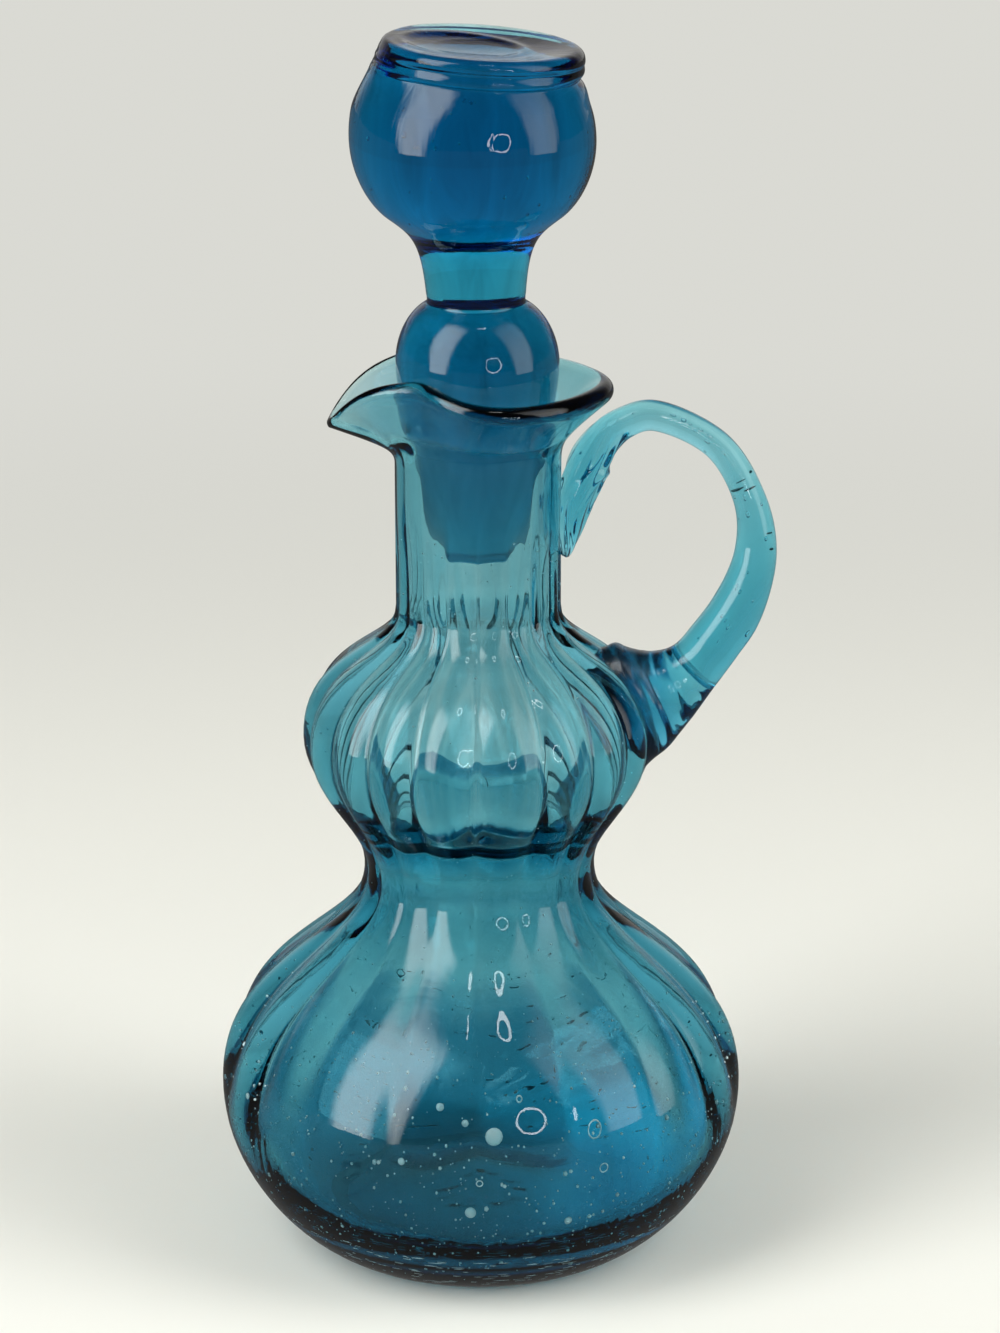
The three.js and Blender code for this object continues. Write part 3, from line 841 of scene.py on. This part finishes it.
def stopper_outline(size, folds):
    """Radius and height up the stopper, from the middle of its end to the middle of its dished top.

    Folds is 1 where the top's rim is rolled over in two folds, and 0 where it runs smooth into the knob."""
    end, disc, top = size.plug_end, size.disc_radius, size.disc_height
    plug = Turn(8.1 * MM, end + 1.6 * MM, (0, 1.2), (3, 10.4))
    shoulder = Turn(size.shoulder_radius, size.shoulder_height, (0, 8), (0, 5))
    crease = Turn(size.stem_radius + 0.1 * MM, size.shoulder_height + 11.8 * MM, (-3.6, 1.8), (-0.6, 0.5))
    stem = Turn(size.stem_radius, size.shoulder_height + 14.5 * MM, (0, 0.8), (0.9, 9.8))
    knob_foot = Turn(17.4 * MM, size.knob_height - 14.5 * MM, (5.1, 3.9), (3.1, 2.5))
    knob = Turn(size.knob_radius, size.knob_height, (0, 6.5), (0, 6))
    plain = 1 - folds
    notch = Turn(disc + 1.4 * MM * plain, top - 5.6 * MM, (-2.2 + plain, 3.4), (0.3 - plain, 0.1 + plain))
    low_roll = Turn(disc + 0.75 * MM, top - 4.4 * MM, (-0.4 * plain, 0.7), (-0.4 * plain, 0.7))
    groove = Turn(disc + (0.35 - 0.1 * plain) * MM, top - 3.0 * MM, (-0.3 * plain, 0.4), (-0.3 * plain, 0.4))
    bead = Turn(disc + (0.9 - 1.3 * plain) * MM, top - 1.6 * MM, (-0.4 * plain, 0.8), (-0.6 * plain, 1.0))
    bead_top = Turn(disc - (1.0 + 1.2 * plain) * MM, top, (-1.1, 0), (-1.4, 0))
    slope_foot = Turn(9.0 * MM, top - 1.1 * MM, (-3, -0.1), (-0.9, -0.1))
    pit = Turn(0.0, top - 1.6 * MM, (-5, 0))
    flat_end = Turn(0.0, end, leave=(3, 0))
    corner = Turn(6.6 * MM, end, (2, 0), (1.1, 0))
    turns = [flat_end, corner, plug, shoulder, crease, stem, knob_foot, knob]
    turns += [notch, low_roll, groove, bead, bead_top, slope_foot, pit]
    stretches = zip(turns, turns[1:], STOPPER_STEPS)
    spans = [evenly(span(low, high), steps + 1)[:-1] for low, high, steps in stretches]
    return np.concatenate(spans)[1:]


def stopper_place(size, grid):
    """Leans what is above the shoulder, then tilts the disc and pushes it to one side."""
    height = grid[..., 2]
    on_disc = smooth(size.knob_height + 6 * MM, size.disc_height - 5.6 * MM, height)
    lean = -math.tan(size.lean) * np.maximum(0, height - size.shoulder_height)
    tilt = grid[..., 1] * math.tan(size.tilt_y) - grid[..., 0] * math.tan(size.tilt_x)
    return grid + np.stack([lean + size.shift * on_disc, 0 * height, tilt * on_disc], axis=-1)


def stopper_grid(size):
    """Rings of the stopper's outline, a little out of round, with its pressed top, leaning and tilted."""
    turn = full_turn(STOPPER_COLUMNS)
    spout_side = smooth(0.55, 1.0, -np.cos(turn))
    folded, plain = stopper_outline(size, 1), stopper_outline(size, 0)
    radius = mixed(folded[:, :1], plain[:, :1], spout_side)
    height = mixed(folded[:, 1:], plain[:, 1:], spout_side)
    below = size.disc_height - height
    handle_side = smooth(0.6, 0.95, np.cos(turn))
    one_roll = 0.4 * MM * bump(below - 3.0 * MM, 0.9 * MM) - 0.5 * MM * bump(below - 5.4 * MM, 0.8 * MM)
    above = smooth(size.shoulder_height + 8 * MM, size.knob_height, height)
    round_off = 1 + above * (0.006 * np.cos(2 * turn + 0.6) + 0.004 * np.cos(3 * turn + 90 * height))
    grid = lathe_grid(radius * round_off + one_roll * handle_side, height, turn)
    top_row = int(np.argmax(folded[:, 1]))
    grid[top_row:, :, 2] += dish_ripple(grid[top_row:])
    return stopper_place(size, grid)


def dish_ripple(points):
    """A raised ring on the dished top, off its middle, with a hollow inside it: two bells of the distance."""
    away = np.hypot(points[..., 0] + DISH_SHIFT, points[..., 1])
    return 0.3 * MM * bump(away - DISH_RING, 1.3 * MM) - 0.25 * MM * bump(away, 8 * MM)


def stopper_seeds(size, number):
    """Small round hollows at random in the ball."""
    draw = np.random.default_rng(31)
    height = draw.uniform(size.knob_height - 14 * MM, size.knob_height + 9 * MM, number)
    reach = np.sqrt(np.maximum(0, size.knob_radius**2 - (height - size.knob_height) ** 2)) * 0.82
    turn, deep = draw.uniform(0, 2 * math.pi, number), np.sqrt(draw.uniform(0.15, 1, number))
    centres = stopper_place(size, lathe_grid(reach * deep, height, turn))
    radius = draw.uniform(0.12, 0.34, number) * MM
    axes = np.broadcast_to(np.eye(3), (number, 3, 3))
    return seed_surfaces(centres, axes, np.stack([radius, radius, radius * 1.2], axis=1))


# Materials

# Scale and strength of the cords in each glass, and how much they wave its surface
BOTTLE_FLOW = (60.0, 0.14, 0.35)
HANDLE_FLOW = (90.0, 0.12, 0.35)
PAD_FLOW = (130.0, 0.10, 0.6)
STOPPER_FLOW = (150.0, 0.45, 0.3)
SMEAR = 0.03
WAVE_DEPTH = 0.4 * MM
# Seeds in the bottle: their two pale tones and how clear they are, a painted glint that stands in for the light that
# bubbles catch
SEED_GLINT_TONES = ((0.5, 0.74, 0.8), (0.94, 0.98, 0.98))
SEED_GLINT_CLEARNESS = 0.25
# Tones of the loop's flakes: a painted shade, near black, that stands in for the dark look of a thin flattened hollow
FILM_SHADE_TONES = ((0.01, 0.03, 0.035), (0.05, 0.11, 0.12))
GROUND_EDGE = 0.6 * MM
GROUND_ROUGHNESS = (0.26, 0.42)
ROOT_REACH = (30 * MM, 42 * MM)
ROOT_ROUGHNESS = 0.26
PAD_DENSITY = 0.75


def set_inputs(tree, node, **values):
    """Inputs of a node by name, each linked to a socket or set to a plain value."""
    for name, value in values.items():
        feed(tree, node.inputs[name.replace("_", " ")], value)


def feed(tree, socket, value):
    if isinstance(value, bpy.types.NodeSocket):
        tree.links.new(value, socket)
    else:
        socket.default_value = value


def add_node(tree, kind, place, settings=None, **values):
    """A shader node of a kind, with its settings and then its inputs by name."""
    node = tree.nodes.new("ShaderNode" + kind)
    node.location = place
    for name, value in (settings or {}).items():
        setattr(node, name, value)
    set_inputs(tree, node, **values)
    return node


def math_node(tree, operation, place, *values):
    """A sum on values, each a socket or a number."""
    node = add_node(tree, "Math", place, {"operation": operation})
    for socket, value in zip(node.inputs, values):
        feed(tree, socket, value)
    return node.outputs["Value"]


def ramp(tree, place, value, low, high, first=0.0, last=1.0, shape="SMOOTHSTEP"):
    """First where a value is low, last where it is high, and between them in between."""
    limits = {"From_Min": low, "From_Max": high, "To_Min": first, "To_Max": last}
    node = add_node(tree, "MapRange", place, {"interpolation_type": shape}, Value=value, **limits)
    return node.outputs["Result"]


def opaque(tone):
    """A colour of red, green and blue with its alpha, or a socket as it is."""
    return tone if isinstance(tone, bpy.types.NodeSocket) else (*tone, 1.0)


def colour_mix(tree, place, part, first, second):
    """The first colour where the part is 0, and the second where it is 1."""
    ends = {"A": opaque(first), "B": opaque(second)}
    return add_node(tree, "Mix", place, {"data_type": "RGBA"}, Factor=part, **ends).outputs["Result"]


def shader_mix(tree, place, part, first, second):
    """The first shader where the part is 0, and the second where it is 1."""
    node = add_node(tree, "MixShader", place, Fac=part)
    tree.links.new(first, node.inputs[1])
    tree.links.new(second, node.inputs[2])
    return node.outputs["Shader"]


def object_place(tree, place):
    return add_node(tree, "TexCoord", place).outputs["Object"]


def distance_node(tree, place, vector):
    return add_node(tree, "VectorMath", place, {"operation": "LENGTH"}, Vector=vector).outputs["Value"]


def new_material(name):
    """A new material, its node tree and its shader."""
    material = bpy.data.materials.new(name)
    material.use_nodes = True
    return material, material.node_tree, material.node_tree.nodes["Principled BSDF"]


def glass_flow_group():
    """Shared flow marks of worked glass: faint vertical cords of denser tint, smears and soft waves."""
    found = bpy.data.node_groups.get("Glass flow")
    if found:
        return found
    tree = bpy.data.node_groups.new("Glass flow", "ShaderNodeTree")
    given = ("Cord Scale", "Cord Strength", "Clear Roughness", "Smear")
    sockets = [(name, "INPUT", "Float") for name in given]
    sockets += [("Tint", "OUTPUT", "Color"), ("Roughness", "OUTPUT", "Float"), ("Height", "OUTPUT", "Float")]
    for name, direction, kind in sockets:
        tree.interface.new_socket(name, in_out=direction, socket_type="NodeSocket" + kind)
    inputs, outputs = tree.nodes.new("NodeGroupInput"), tree.nodes.new("NodeGroupOutput")
    inputs.location, outputs.location = (-900, 0), (700, 0)
    scale, strength, roughness, smear = (inputs.outputs[name] for name in given)
    place = object_place(tree, (-900, 300))
    stretch = add_node(tree, "Mapping", (-700, 300), Vector=place, Scale=(1.0, 1.0, 0.12))
    cords = add_node(tree, "TexNoise", (-480, 300), Scale=scale, Detail=3.0, Roughness=0.6, Distortion=0.6)
    set_inputs(tree, cords, Vector=stretch.outputs["Vector"])
    spread = ramp(tree, (-240, 300), cords.outputs["Fac"], 0.35, 0.7, shape="LINEAR")
    clear = math_node(tree, "SUBTRACT", (140, 300), 1.0, math_node(tree, "MULTIPLY", (-40, 300), spread, strength))
    tint = add_node(tree, "CombineColor", (320, 300), Red=clear, Green=clear, Blue=clear)
    smears = add_node(tree, "TexNoise", (-480, -100), Vector=place, Scale=70.0, Detail=4.0, Roughness=0.6)
    patches = ramp(tree, (-240, -100), smears.outputs["Fac"], 0.5, 0.8, shape="LINEAR")
    rough = math_node(tree, "MULTIPLY_ADD", (140, -100), patches, smear, roughness)
    set_inputs(tree, outputs, Tint=tint.outputs["Color"], Roughness=rough, Height=cords.outputs["Fac"])
    return tree


def glass(name, tint, density, cord_scale, cord_strength, waviness, roughness=0.0, bend=1.5):
    """Clear tinted glass: a clear shader with flow marks, and plain absorption through its depth."""
    material, tree, shader = new_material(name)
    flow = add_node(tree, "Group", (-700, 100), {"node_tree": glass_flow_group()}, Cord_Scale=cord_scale)
    set_inputs(tree, flow, Cord_Strength=cord_strength, Clear_Roughness=roughness, Smear=SMEAR)
    tone, rough, height = (flow.outputs[mark] for mark in ("Tint", "Roughness", "Height"))
    waves = add_node(tree, "Bump", (-400, -200), Strength=waviness, Distance=WAVE_DEPTH, Height=height)
    set_inputs(tree, shader, Base_Color=tone, Roughness=rough, Normal=waves.outputs["Normal"])
    set_inputs(tree, shader, Transmission_Weight=1.0, IOR=bend)
    depth = add_node(tree, "VolumeAbsorption", (0, -300), Color=opaque(tint), Density=density)
    set_inputs(tree, tree.nodes["Material Output"], Volume=depth.outputs["Volume"])
    return material


def flecks(name, low, high, clear=0.0):
    """Look of the small things in the glass: uneven between two tones, softly rough and as clear as asked."""
    material, tree, shader = new_material(name)
    patches = add_node(tree, "TexNoise", (-600, 0), Vector=object_place(tree, (-800, 0)), Scale=400.0, Detail=1.0)
    tones = colour_mix(tree, (-300, 0), patches.outputs["Fac"], low, high)
    set_inputs(tree, shader, Base_Color=tones, Roughness=0.35, Transmission_Weight=clear, IOR=1.2)
    return material


def ground_plug(material, height):
    """Adds the ground part of the plug: rough below a height, with a soft edge and fine grain."""
    tree = material.node_tree
    shader = tree.nodes["Principled BSDF"]
    clear = shader.inputs["Roughness"].links[0].from_socket
    place = object_place(tree, (-1100, -500))
    upward = add_node(tree, "SeparateXYZ", (-900, -500), Vector=place).outputs["Z"]
    edge = ramp(tree, (-700, -500), upward, height - GROUND_EDGE, height + GROUND_EDGE, 1.0, 0.0, "LINEAR")
    grain = add_node(tree, "TexNoise", (-900, -700), Vector=place, Scale=900.0, Detail=2.0)
    frost = ramp(tree, (-700, -700), grain.outputs["Fac"], 0.0, 1.0, *GROUND_ROUGHNESS, "LINEAR")
    mix = add_node(tree, "Mix", (-450, -500), Factor=edge, A=clear, B=frost)
    set_inputs(tree, shader, Roughness=mix.outputs["Result"])


def pressed_root(material, deep):
    """Makes the pad rougher and deeper in colour towards the bottle, and clear where the loop begins."""
    tree = material.node_tree
    shader = tree.nodes["Principled BSDF"]
    rough, clear = (shader.inputs[name].links[0].from_socket for name in ("Roughness", "Base Color"))
    outward = add_node(tree, "SeparateXYZ", (-1100, -500), Vector=object_place(tree, (-1300, -500))).outputs["X"]
    root = ramp(tree, (-900, -500), outward, *ROOT_REACH, 1.0, 0.0)
    pressed = math_node(tree, "MULTIPLY_ADD", (-650, -500), root, ROOT_ROUGHNESS, rough)
    set_inputs(tree, shader, Base_Color=colour_mix(tree, (-450, 300), root, clear, deep), Roughness=pressed)


# Stage

BOX_DISTANCE = 1.2
BOX_SIZE = (0.95, 2.0)
BOX_FEATHER = 0.28
BOX_FALL = -0.3
# Name, direction from the bottle, share of the seen light, and what is left of that at the top, of each softbox
SOFTBOXES = (
    ("softbox_left", (-0.69, -0.46, 0.55), 1.0, 0.9),
    ("softbox_right", (0.775, -0.30, 0.55), 0.42, 0.1),
)
RING_DISTANCE = 0.9
RING_TUBE = 0.012
# Direction from the bottle and radius of each ring light
RINGS = (((0.40, -0.89, 0.22), 0.15), ((0.12, -0.30, 0.945), 0.06))
FLOOR_HALF = 8.0
# Dark room: where it begins as seen along the camera's line of sight, and how far it comes forward in reflections
ROOM_EDGE = (-0.55, 0.05)
ROOM_SHIFT = 1.05
SKY_STOPS = (0.0, 0.35, 0.72, 0.97)
# Floor: distances from the bottle over which its shadow, its painted shade and its painted glow go out; the painted
# shade and glow show only through the glass
SHADOW_REACH = (0.22, 0.75)
SHADE_REACH = (0.1, 0.175)
SHADE_NARROW = 2.3
GLOW_BACK = 0.02
GLOW_REACH = (0.034, 0.07)
GLOW_SIDE = (-0.005, 0.05)
GLOW_SIDE_SHARE = 6.5
GLASS_BOUNCES = 32
MIRROR_BOUNCES = 12


def facing(direction, distance, middle):
    """A matrix at a distance from the middle of the bottle whose -Z axis points at it."""
    place = Vector(middle) + Vector(direction) * distance
    back = (place - Vector(middle)).normalized()
    return Matrix.Translation(place) @ back.to_track_quat("Z", "Y").to_matrix().to_4x4()


def stage_object(name, corners, faces, material):
    """A piece of the stage from its corners, its faces and its material."""
    mesh = bpy.data.meshes.new(name)
    mesh.from_pydata(corners, [], faces)
    mesh.materials.append(material)
    return linked_object(name, mesh)


def sheet_corners(half_x, half_y):
    return np.array([(-half_x, -half_y, 0), (half_x, -half_y, 0), (half_x, half_y, 0), (-half_x, half_y, 0)])


def lamp_material(name):
    """A material that only glows, its node tree and its glow."""
    material, tree, shader = new_material(name)
    tree.nodes.remove(shader)
    light = add_node(tree, "Emission", (400, 0))
    set_inputs(tree, tree.nodes["Material Output"], Surface=light.outputs["Emission"])
    return material, tree, light


def seen_rays(tree, place):
    """1 for rays that see a thing directly or through glass, then 1 for those that see it as a reflection.

    Both are 0 for rays that light a matt thing, also where they go on through glass."""
    x, y = place
    rays = add_node(tree, "LightPath", place).outputs
    camera, glossy, clear = (rays[name] for name in ("Is Camera Ray", "Is Glossy Ray", "Is Transmission Ray"))
    direct = math_node(tree, "LESS_THAN", (x + 200, y - 200), rays["Diffuse Depth"], 0.5)
    either = math_node(tree, "MAXIMUM", (x + 200, y), camera, clear)
    bounced = math_node(tree, "GREATER_THAN", (x + 200, y - 400), glossy, clear)
    through = math_node(tree, "MULTIPLY", (x + 400, y), either, direct)
    return through, math_node(tree, "MULTIPLY", (x + 400, y - 200), bounced, direct)


def add_softbox(name, direction, part, top, middle, settings):
    """A glowing sheet that faces the bottle, soft at its sides and top.

    It shows with its part of the seen light, which fades to another share at its top."""
    half_x, half_y = BOX_SIZE[0] / 2, BOX_SIZE[1] / 2
    glow, tree, light = lamp_material(name)
    parts = add_node(tree, "SeparateXYZ", (-700, 0), Vector=object_place(tree, (-900, 0))).outputs
    sideways = math_node(tree, "ABSOLUTE", (-500, 0), parts["X"])
    feathered = []
    for value, half in ((sideways, half_x), (parts["Y"], half_y)):
        place, solid = (-300, -200 * len(feathered)), half * (1 - 2 * BOX_FEATHER)
        feathered.append(ramp(tree, place, value, solid, half, 1.0, 0.0, "SMOOTHERSTEP"))
    fall = ramp(tree, (-300, -400), parts["Y"], BOX_FALL * half_y, half_y, 1.0, top, "LINEAR")
    shape = math_node(tree, "MULTIPLY", (50, 0), math_node(tree, "MULTIPLY", (-100, 0), *feathered), fall)
    seen = math_node(tree, "MAXIMUM", (-100, -700), *seen_rays(tree, (-700, -700)))
    levels = (settings.lamp_radiance, settings.box_radiance * part)
    level = ramp(tree, (50, -400), seen, 0.0, 1.0, *levels, "LINEAR")
    strength = math_node(tree, "MULTIPLY", (200, 0), shape, level)
    set_inputs(tree, light, Color=opaque(settings.box_colour), Strength=strength)
    box = stage_object(name, sheet_corners(half_x, half_y), [(0, 3, 2, 1)], glow)
    box.matrix_world = facing(direction, BOX_DISTANCE, middle)
    box.visible_camera = False


def add_ring_light(name, direction, radius, middle, radiance):
    """A glowing ring: a small circle carried round a large one, turned to face the bottle."""
    rows, columns = 64, 12
    around, small = np.meshgrid(full_turn(rows), full_turn(columns), indexing="ij")
    reach = radius + RING_TUBE * np.cos(small)
    points = np.stack([reach * np.cos(around), reach * np.sin(around), RING_TUBE * np.sin(small)], axis=-1)
    turn = np.array(facing(direction, RING_DISTANCE, middle))
    points = points.reshape(-1, 3) @ turn[:3, :3].T + turn[:3, 3]
    glow, tree, light = lamp_material(name)
    set_inputs(tree, light, Strength=radiance)
    ring = stage_object(name, points, tube_faces(rows, columns).tolist(), glow)
    ring.visible_camera = False
    ring.visible_diffuse = False
    ring.visible_transmission = False
    ring.visible_shadow = False


def floor_material(settings):
    """A pale matt floor that keeps the shadow near the bottle and fades to an even pale tone away from it.

    Seen through the glass it has a painted shade close to the bottle, standing in for the bottle's shadow there, and a
    painted glow under the base, standing in for light that the bottle focuses there. As a reflection it is dim."""
    material, tree, matt = new_material("stage_floor")
    place = object_place(tree, (-900, -500))
    through, mirrored = seen_rays(tree, (-700, -800))
    path = add_node(tree, "LightPath", (-700, -1500))
    in_glass = math_node(tree, "MULTIPLY", (-300, -1500), through, path.outputs["Is Transmission Ray"])

    # Painted shade on the floor near the bottle, only for rays seen through the glass
    narrow = add_node(tree, "Mapping", (-700, -1200), Vector=place, Scale=(SHADE_NARROW, 1.0, 1.0))
    close = distance_node(tree, (-500, -1200), narrow.outputs["Vector"])
    near = ramp(tree, (-300, -1200), close, *SHADE_REACH, 1.0, 0.0)
    shade = math_node(tree, "MULTIPLY", (-100, -1300), in_glass, near)
    paint = colour_mix(tree, (100, -1200), shade, settings.floor_colour, settings.shade)

    # Painted glow on the floor under the base, stronger to the handle's side, only for rays seen through the glass
    back = add_node(tree, "Mapping", (-700, -1000), Vector=place, Location=(0.0, -GLOW_BACK, 0.0))
    beside = distance_node(tree, (-500, -1000), back.outputs["Vector"])
    under = ramp(tree, (-300, -1000), beside, *GLOW_REACH, 1.0, 0.0)
    across = add_node(tree, "SeparateXYZ", (-500, -900), Vector=place).outputs["X"]
    side = ramp(tree, (-300, -800), across, *GLOW_SIDE, 1.0, 1.0 + GLOW_SIDE_SHARE)
    beneath = math_node(tree, "MULTIPLY", (-100, -1000), in_glass, under)
    glow = math_node(tree, "MULTIPLY", (-100, -900), beneath, side)
    set_inputs(tree, matt, Base_Color=paint, Roughness=0.7, Specular_IOR_Level=0.2)
    set_inputs(tree, matt, Emission_Color=opaque(settings.glow), Emission_Strength=glow)

    even = add_node(tree, "Emission", (0, -250), Color=opaque(settings.even_colour), Strength=1.0)
    dim = add_node(tree, "Emission", (300, -250), Color=opaque(settings.dim_colour), Strength=1.0)
    far = ramp(tree, (-300, -500), distance_node(tree, (-500, -500), place), *SHADOW_REACH)
    faded = math_node(tree, "MULTIPLY", (100, -500), far, through)
    seen = shader_mix(tree, (300, 0), faded, matt.outputs["BSDF"], even.outputs["Emission"])
    both = shader_mix(tree, (500, 0), mirrored, seen, dim.outputs["Emission"])
    set_inputs(tree, tree.nodes["Material Output"], Surface=both)
    return material


def add_floor(settings):
    """A flat square floor at the height of the bottle's base."""
    corners = sheet_corners(FLOOR_HALF, FLOOR_HALF)
    floor = stage_object("stage_floor", corners, [(0, 1, 2, 3)], floor_material(settings))


def light_world(settings):
    """A pale backdrop for what is seen, dark behind the camera as a room is, and a soft fill for matt things."""
    world = bpy.data.worlds.new("studio")
    world.use_nodes = True
    bpy.context.scene.world = world
    tree = world.node_tree
    direction = add_node(tree, "TexCoord", (-900, 200)).outputs["Generated"]
    upright = add_node(tree, "SeparateXYZ", (-700, 500), Vector=direction).outputs["Z"]
    sky = add_node(tree, "ValToRGB", (-500, 500), Fac=upright)
    tones = (settings.low_sky, settings.high_sky, settings.high_sky, settings.ceiling_colour)
    while len(sky.color_ramp.elements) < len(tones):
        sky.color_ramp.elements.new(0.5)
    for stop, position, tone in zip(sky.color_ramp.elements, SKY_STOPS, tones):
        stop.position, stop.color = position, opaque(tone)

    to_camera = {"vector_type": "VECTOR", "convert_from": "WORLD", "convert_to": "CAMERA"}
    view = add_node(tree, "VectorTransform", (-700, 200), to_camera, Vector=direction).outputs["Vector"]
    forward = add_node(tree, "SeparateXYZ", (-500, 200), Vector=view).outputs["Z"]
    through, mirrored = seen_rays(tree, (-900, -200))
    shift = math_node(tree, "MULTIPLY", (-500, -100), mirrored, ROOM_SHIFT)
    ahead = math_node(tree, "SUBTRACT", (-400, 100), forward, shift)
    behind = ramp(tree, (-300, 200), ahead, *ROOM_EDGE, 1.0, 0.0)
    backdrop = tree.nodes["Background"]
    tone = colour_mix(tree, (-100, 200), behind, sky.outputs["Color"], settings.room_colour)
    set_inputs(tree, backdrop, Color=tone)
    fill = add_node(tree, "Background", (0, -200), Color=opaque(settings.low_sky), Strength=settings.fill)
    seen = math_node(tree, "MAXIMUM", (0, -400), through, mirrored)
    both = shader_mix(tree, (300, 0), seen, fill.outputs["Background"], backdrop.outputs["Background"])
    set_inputs(tree, tree.nodes["World Output"], Surface=both)


def add_camera(settings):
    """A long lens that looks down at the bottle from the front."""
    data = bpy.data.cameras.new("camera")
    data.lens = settings.camera_lens
    camera = linked_object("camera", data)
    down, away = settings.camera_elevation, settings.camera_distance
    place = Vector((settings.camera_side, -away * math.cos(down), settings.camera_target + away * math.sin(down)))
    tip = Matrix.Rotation(math.pi / 2 - down, 4, "X") @ Matrix.Rotation(settings.camera_roll, 4, "Z")
    camera.matrix_world = Matrix.Translation(place) @ tip
    bpy.context.scene.camera = camera


# Operators

def finish_piece(piece, body, slot, *nodes):
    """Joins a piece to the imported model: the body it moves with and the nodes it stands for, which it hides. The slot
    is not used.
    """
    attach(piece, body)
    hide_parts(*nodes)


class CRUET_OT_stage(bpy.types.Operator):
    """Set up the pale floor, the soft studio light and the camera"""

    bl_idname = "cruet.stage"
    bl_label = "Stage"

    def execute(self, context):
        scene = context.scene
        settings = scene.cruet_stage
        middle = (0, 0, (CAD_BOX[0][2] + CAD_BOX[1][2]) / 2)
        add_camera(settings)
        add_floor(settings)
        light_world(settings)
        for name, direction, part, top in SOFTBOXES:
            add_softbox(name, direction, part, top, middle, settings)
        for number, (direction, radius) in enumerate(RINGS, 1):
            add_ring_light(f"ring_light_{number}", direction, radius, middle, settings.ring_radiance)
        scene.view_settings.view_transform = "Standard"
        scene.cycles.max_bounces = GLASS_BOUNCES
        scene.cycles.transmission_bounces = GLASS_BOUNCES
        scene.cycles.glossy_bounces = MIRROR_BOUNCES
        return {"FINISHED"}


class CRUET_OT_bottle(bpy.types.Operator):
    """Blow the ribbed bottle with its lip, its thick base and the seeds in its wall"""

    bl_idname = "cruet.bottle"
    bl_label = "Bottle"

    def execute(self, context):
        size, tints = context.scene.cruet_bottle, context.scene.cruet_glass
        material = glass("bottle_glass", tints.bottle_tint, tints.bottle_density, *BOTTLE_FLOW)
        seeds = [bottle_seeds(size, size.seeds), heel_dashes(size, size.seeds // SEEDS_PER_DASH)]
        seeds += [large_seeds(size), bubble_rings(size)]
        # The seeds' pale tone is a painted glint that stands in for the light that bubbles in glass catch
        pale = flecks("painted_seed_glints", *SEED_GLINT_TONES, SEED_GLINT_CLEARNESS)
        bottle = make_piece("blown_bottle", [closed_surface(bottle_grid(size))], seeds, [material, pale])
        finish_piece(bottle, "bottle", "bottle_glass", "bottle", "bottle_neck")
        return {"FINISHED"}


class CRUET_OT_handle(bpy.types.Operator):
    """Draw the handle's loop and crimp its pad onto the bottle's shoulder"""

    bl_idname = "cruet.handle"
    bl_label = "Handle"

    def execute(self, context):
        size, handle = context.scene.cruet_bottle, context.scene.cruet_handle
        tints = context.scene.cruet_glass
        drawn = glass("handle_glass", tints.handle_tint, tints.handle_density, *HANDLE_FLOW, roughness=0.03)
        crimped = glass("crimped_glass", tints.handle_tint, PAD_DENSITY * tints.handle_density, *PAD_FLOW)
        pressed_root(crimped, tints.pad_colour)
        pad = make_piece("crimped_pad", [closed_surface(pad_grid(size, handle))], [], [crimped])
        surfaces = [closed_surface(loop_grid(size, handle)), hollow(rod_seeds(handle.seeds))]
        loop = make_piece("drawn_loop", surfaces, [rod_flakes()], [drawn, flecks("painted_film_shade", *FILM_SHADE_TONES)])
        finish_piece(pad, "bottle", "handle_glass", "handle_pad")
        finish_piece(loop, "bottle", "handle_glass", "handle_loop")
        return {"FINISHED"}


class CRUET_OT_stopper(bpy.types.Operator):
    """Shape the solid stopper with its ground plug, ball knob and dished disc"""

    bl_idname = "cruet.stopper"
    bl_label = "Stopper"

    def execute(self, context):
        size, tints = context.scene.cruet_stopper, context.scene.cruet_glass
        material = glass("stopper_glass", tints.stopper_tint, tints.stopper_density, *STOPPER_FLOW, bend=1.45)
        ground_plug(material, size.ground_height)
        surfaces = [closed_surface(stopper_grid(size)), hollow(stopper_seeds(size, size.seeds))]
        stopper = make_piece("solid_stopper", surfaces, [], [material])
        finish_piece(stopper, "stopper", "stopper_glass", "stopper")
        return {"FINISHED"}


class CRUET_PT_sidebar(bpy.types.Panel):
    """Lists the steps that build the cruet"""

    bl_label = "Glass cruet"
    bl_idname = "CRUET_PT_sidebar"
    bl_space_type = "VIEW_3D"
    bl_region_type = "UI"
    bl_category = "Cruet"

    def draw(self, context):
        for operator in OPERATORS:
            self.layout.operator(operator.bl_idname)


SETTINGS = {
    "cruet_bottle": BottleSettings,
    "cruet_handle": HandleSettings,
    "cruet_stopper": StopperSettings,
    "cruet_glass": GlassSettings,
    "cruet_stage": StageSettings,
}
OPERATORS = (CRUET_OT_stage, CRUET_OT_bottle, CRUET_OT_handle, CRUET_OT_stopper)
CLASSES = (*SETTINGS.values(), *OPERATORS, CRUET_PT_sidebar)


def register():
    for each in CLASSES:
        bpy.utils.register_class(each)
    for name, group in SETTINGS.items():
        setattr(bpy.types.Scene, name, bpy.props.PointerProperty(type=group))


def unregister():
    for name in SETTINGS:
        delattr(bpy.types.Scene, name)
    for each in reversed(CLASSES):
        bpy.utils.unregister_class(each)


def main():
    register()
    bpy.ops.cruet.stage()
    bpy.ops.cruet.bottle()
    bpy.ops.cruet.handle()
    bpy.ops.cruet.stopper()


if __name__ == "__main__":
    main()
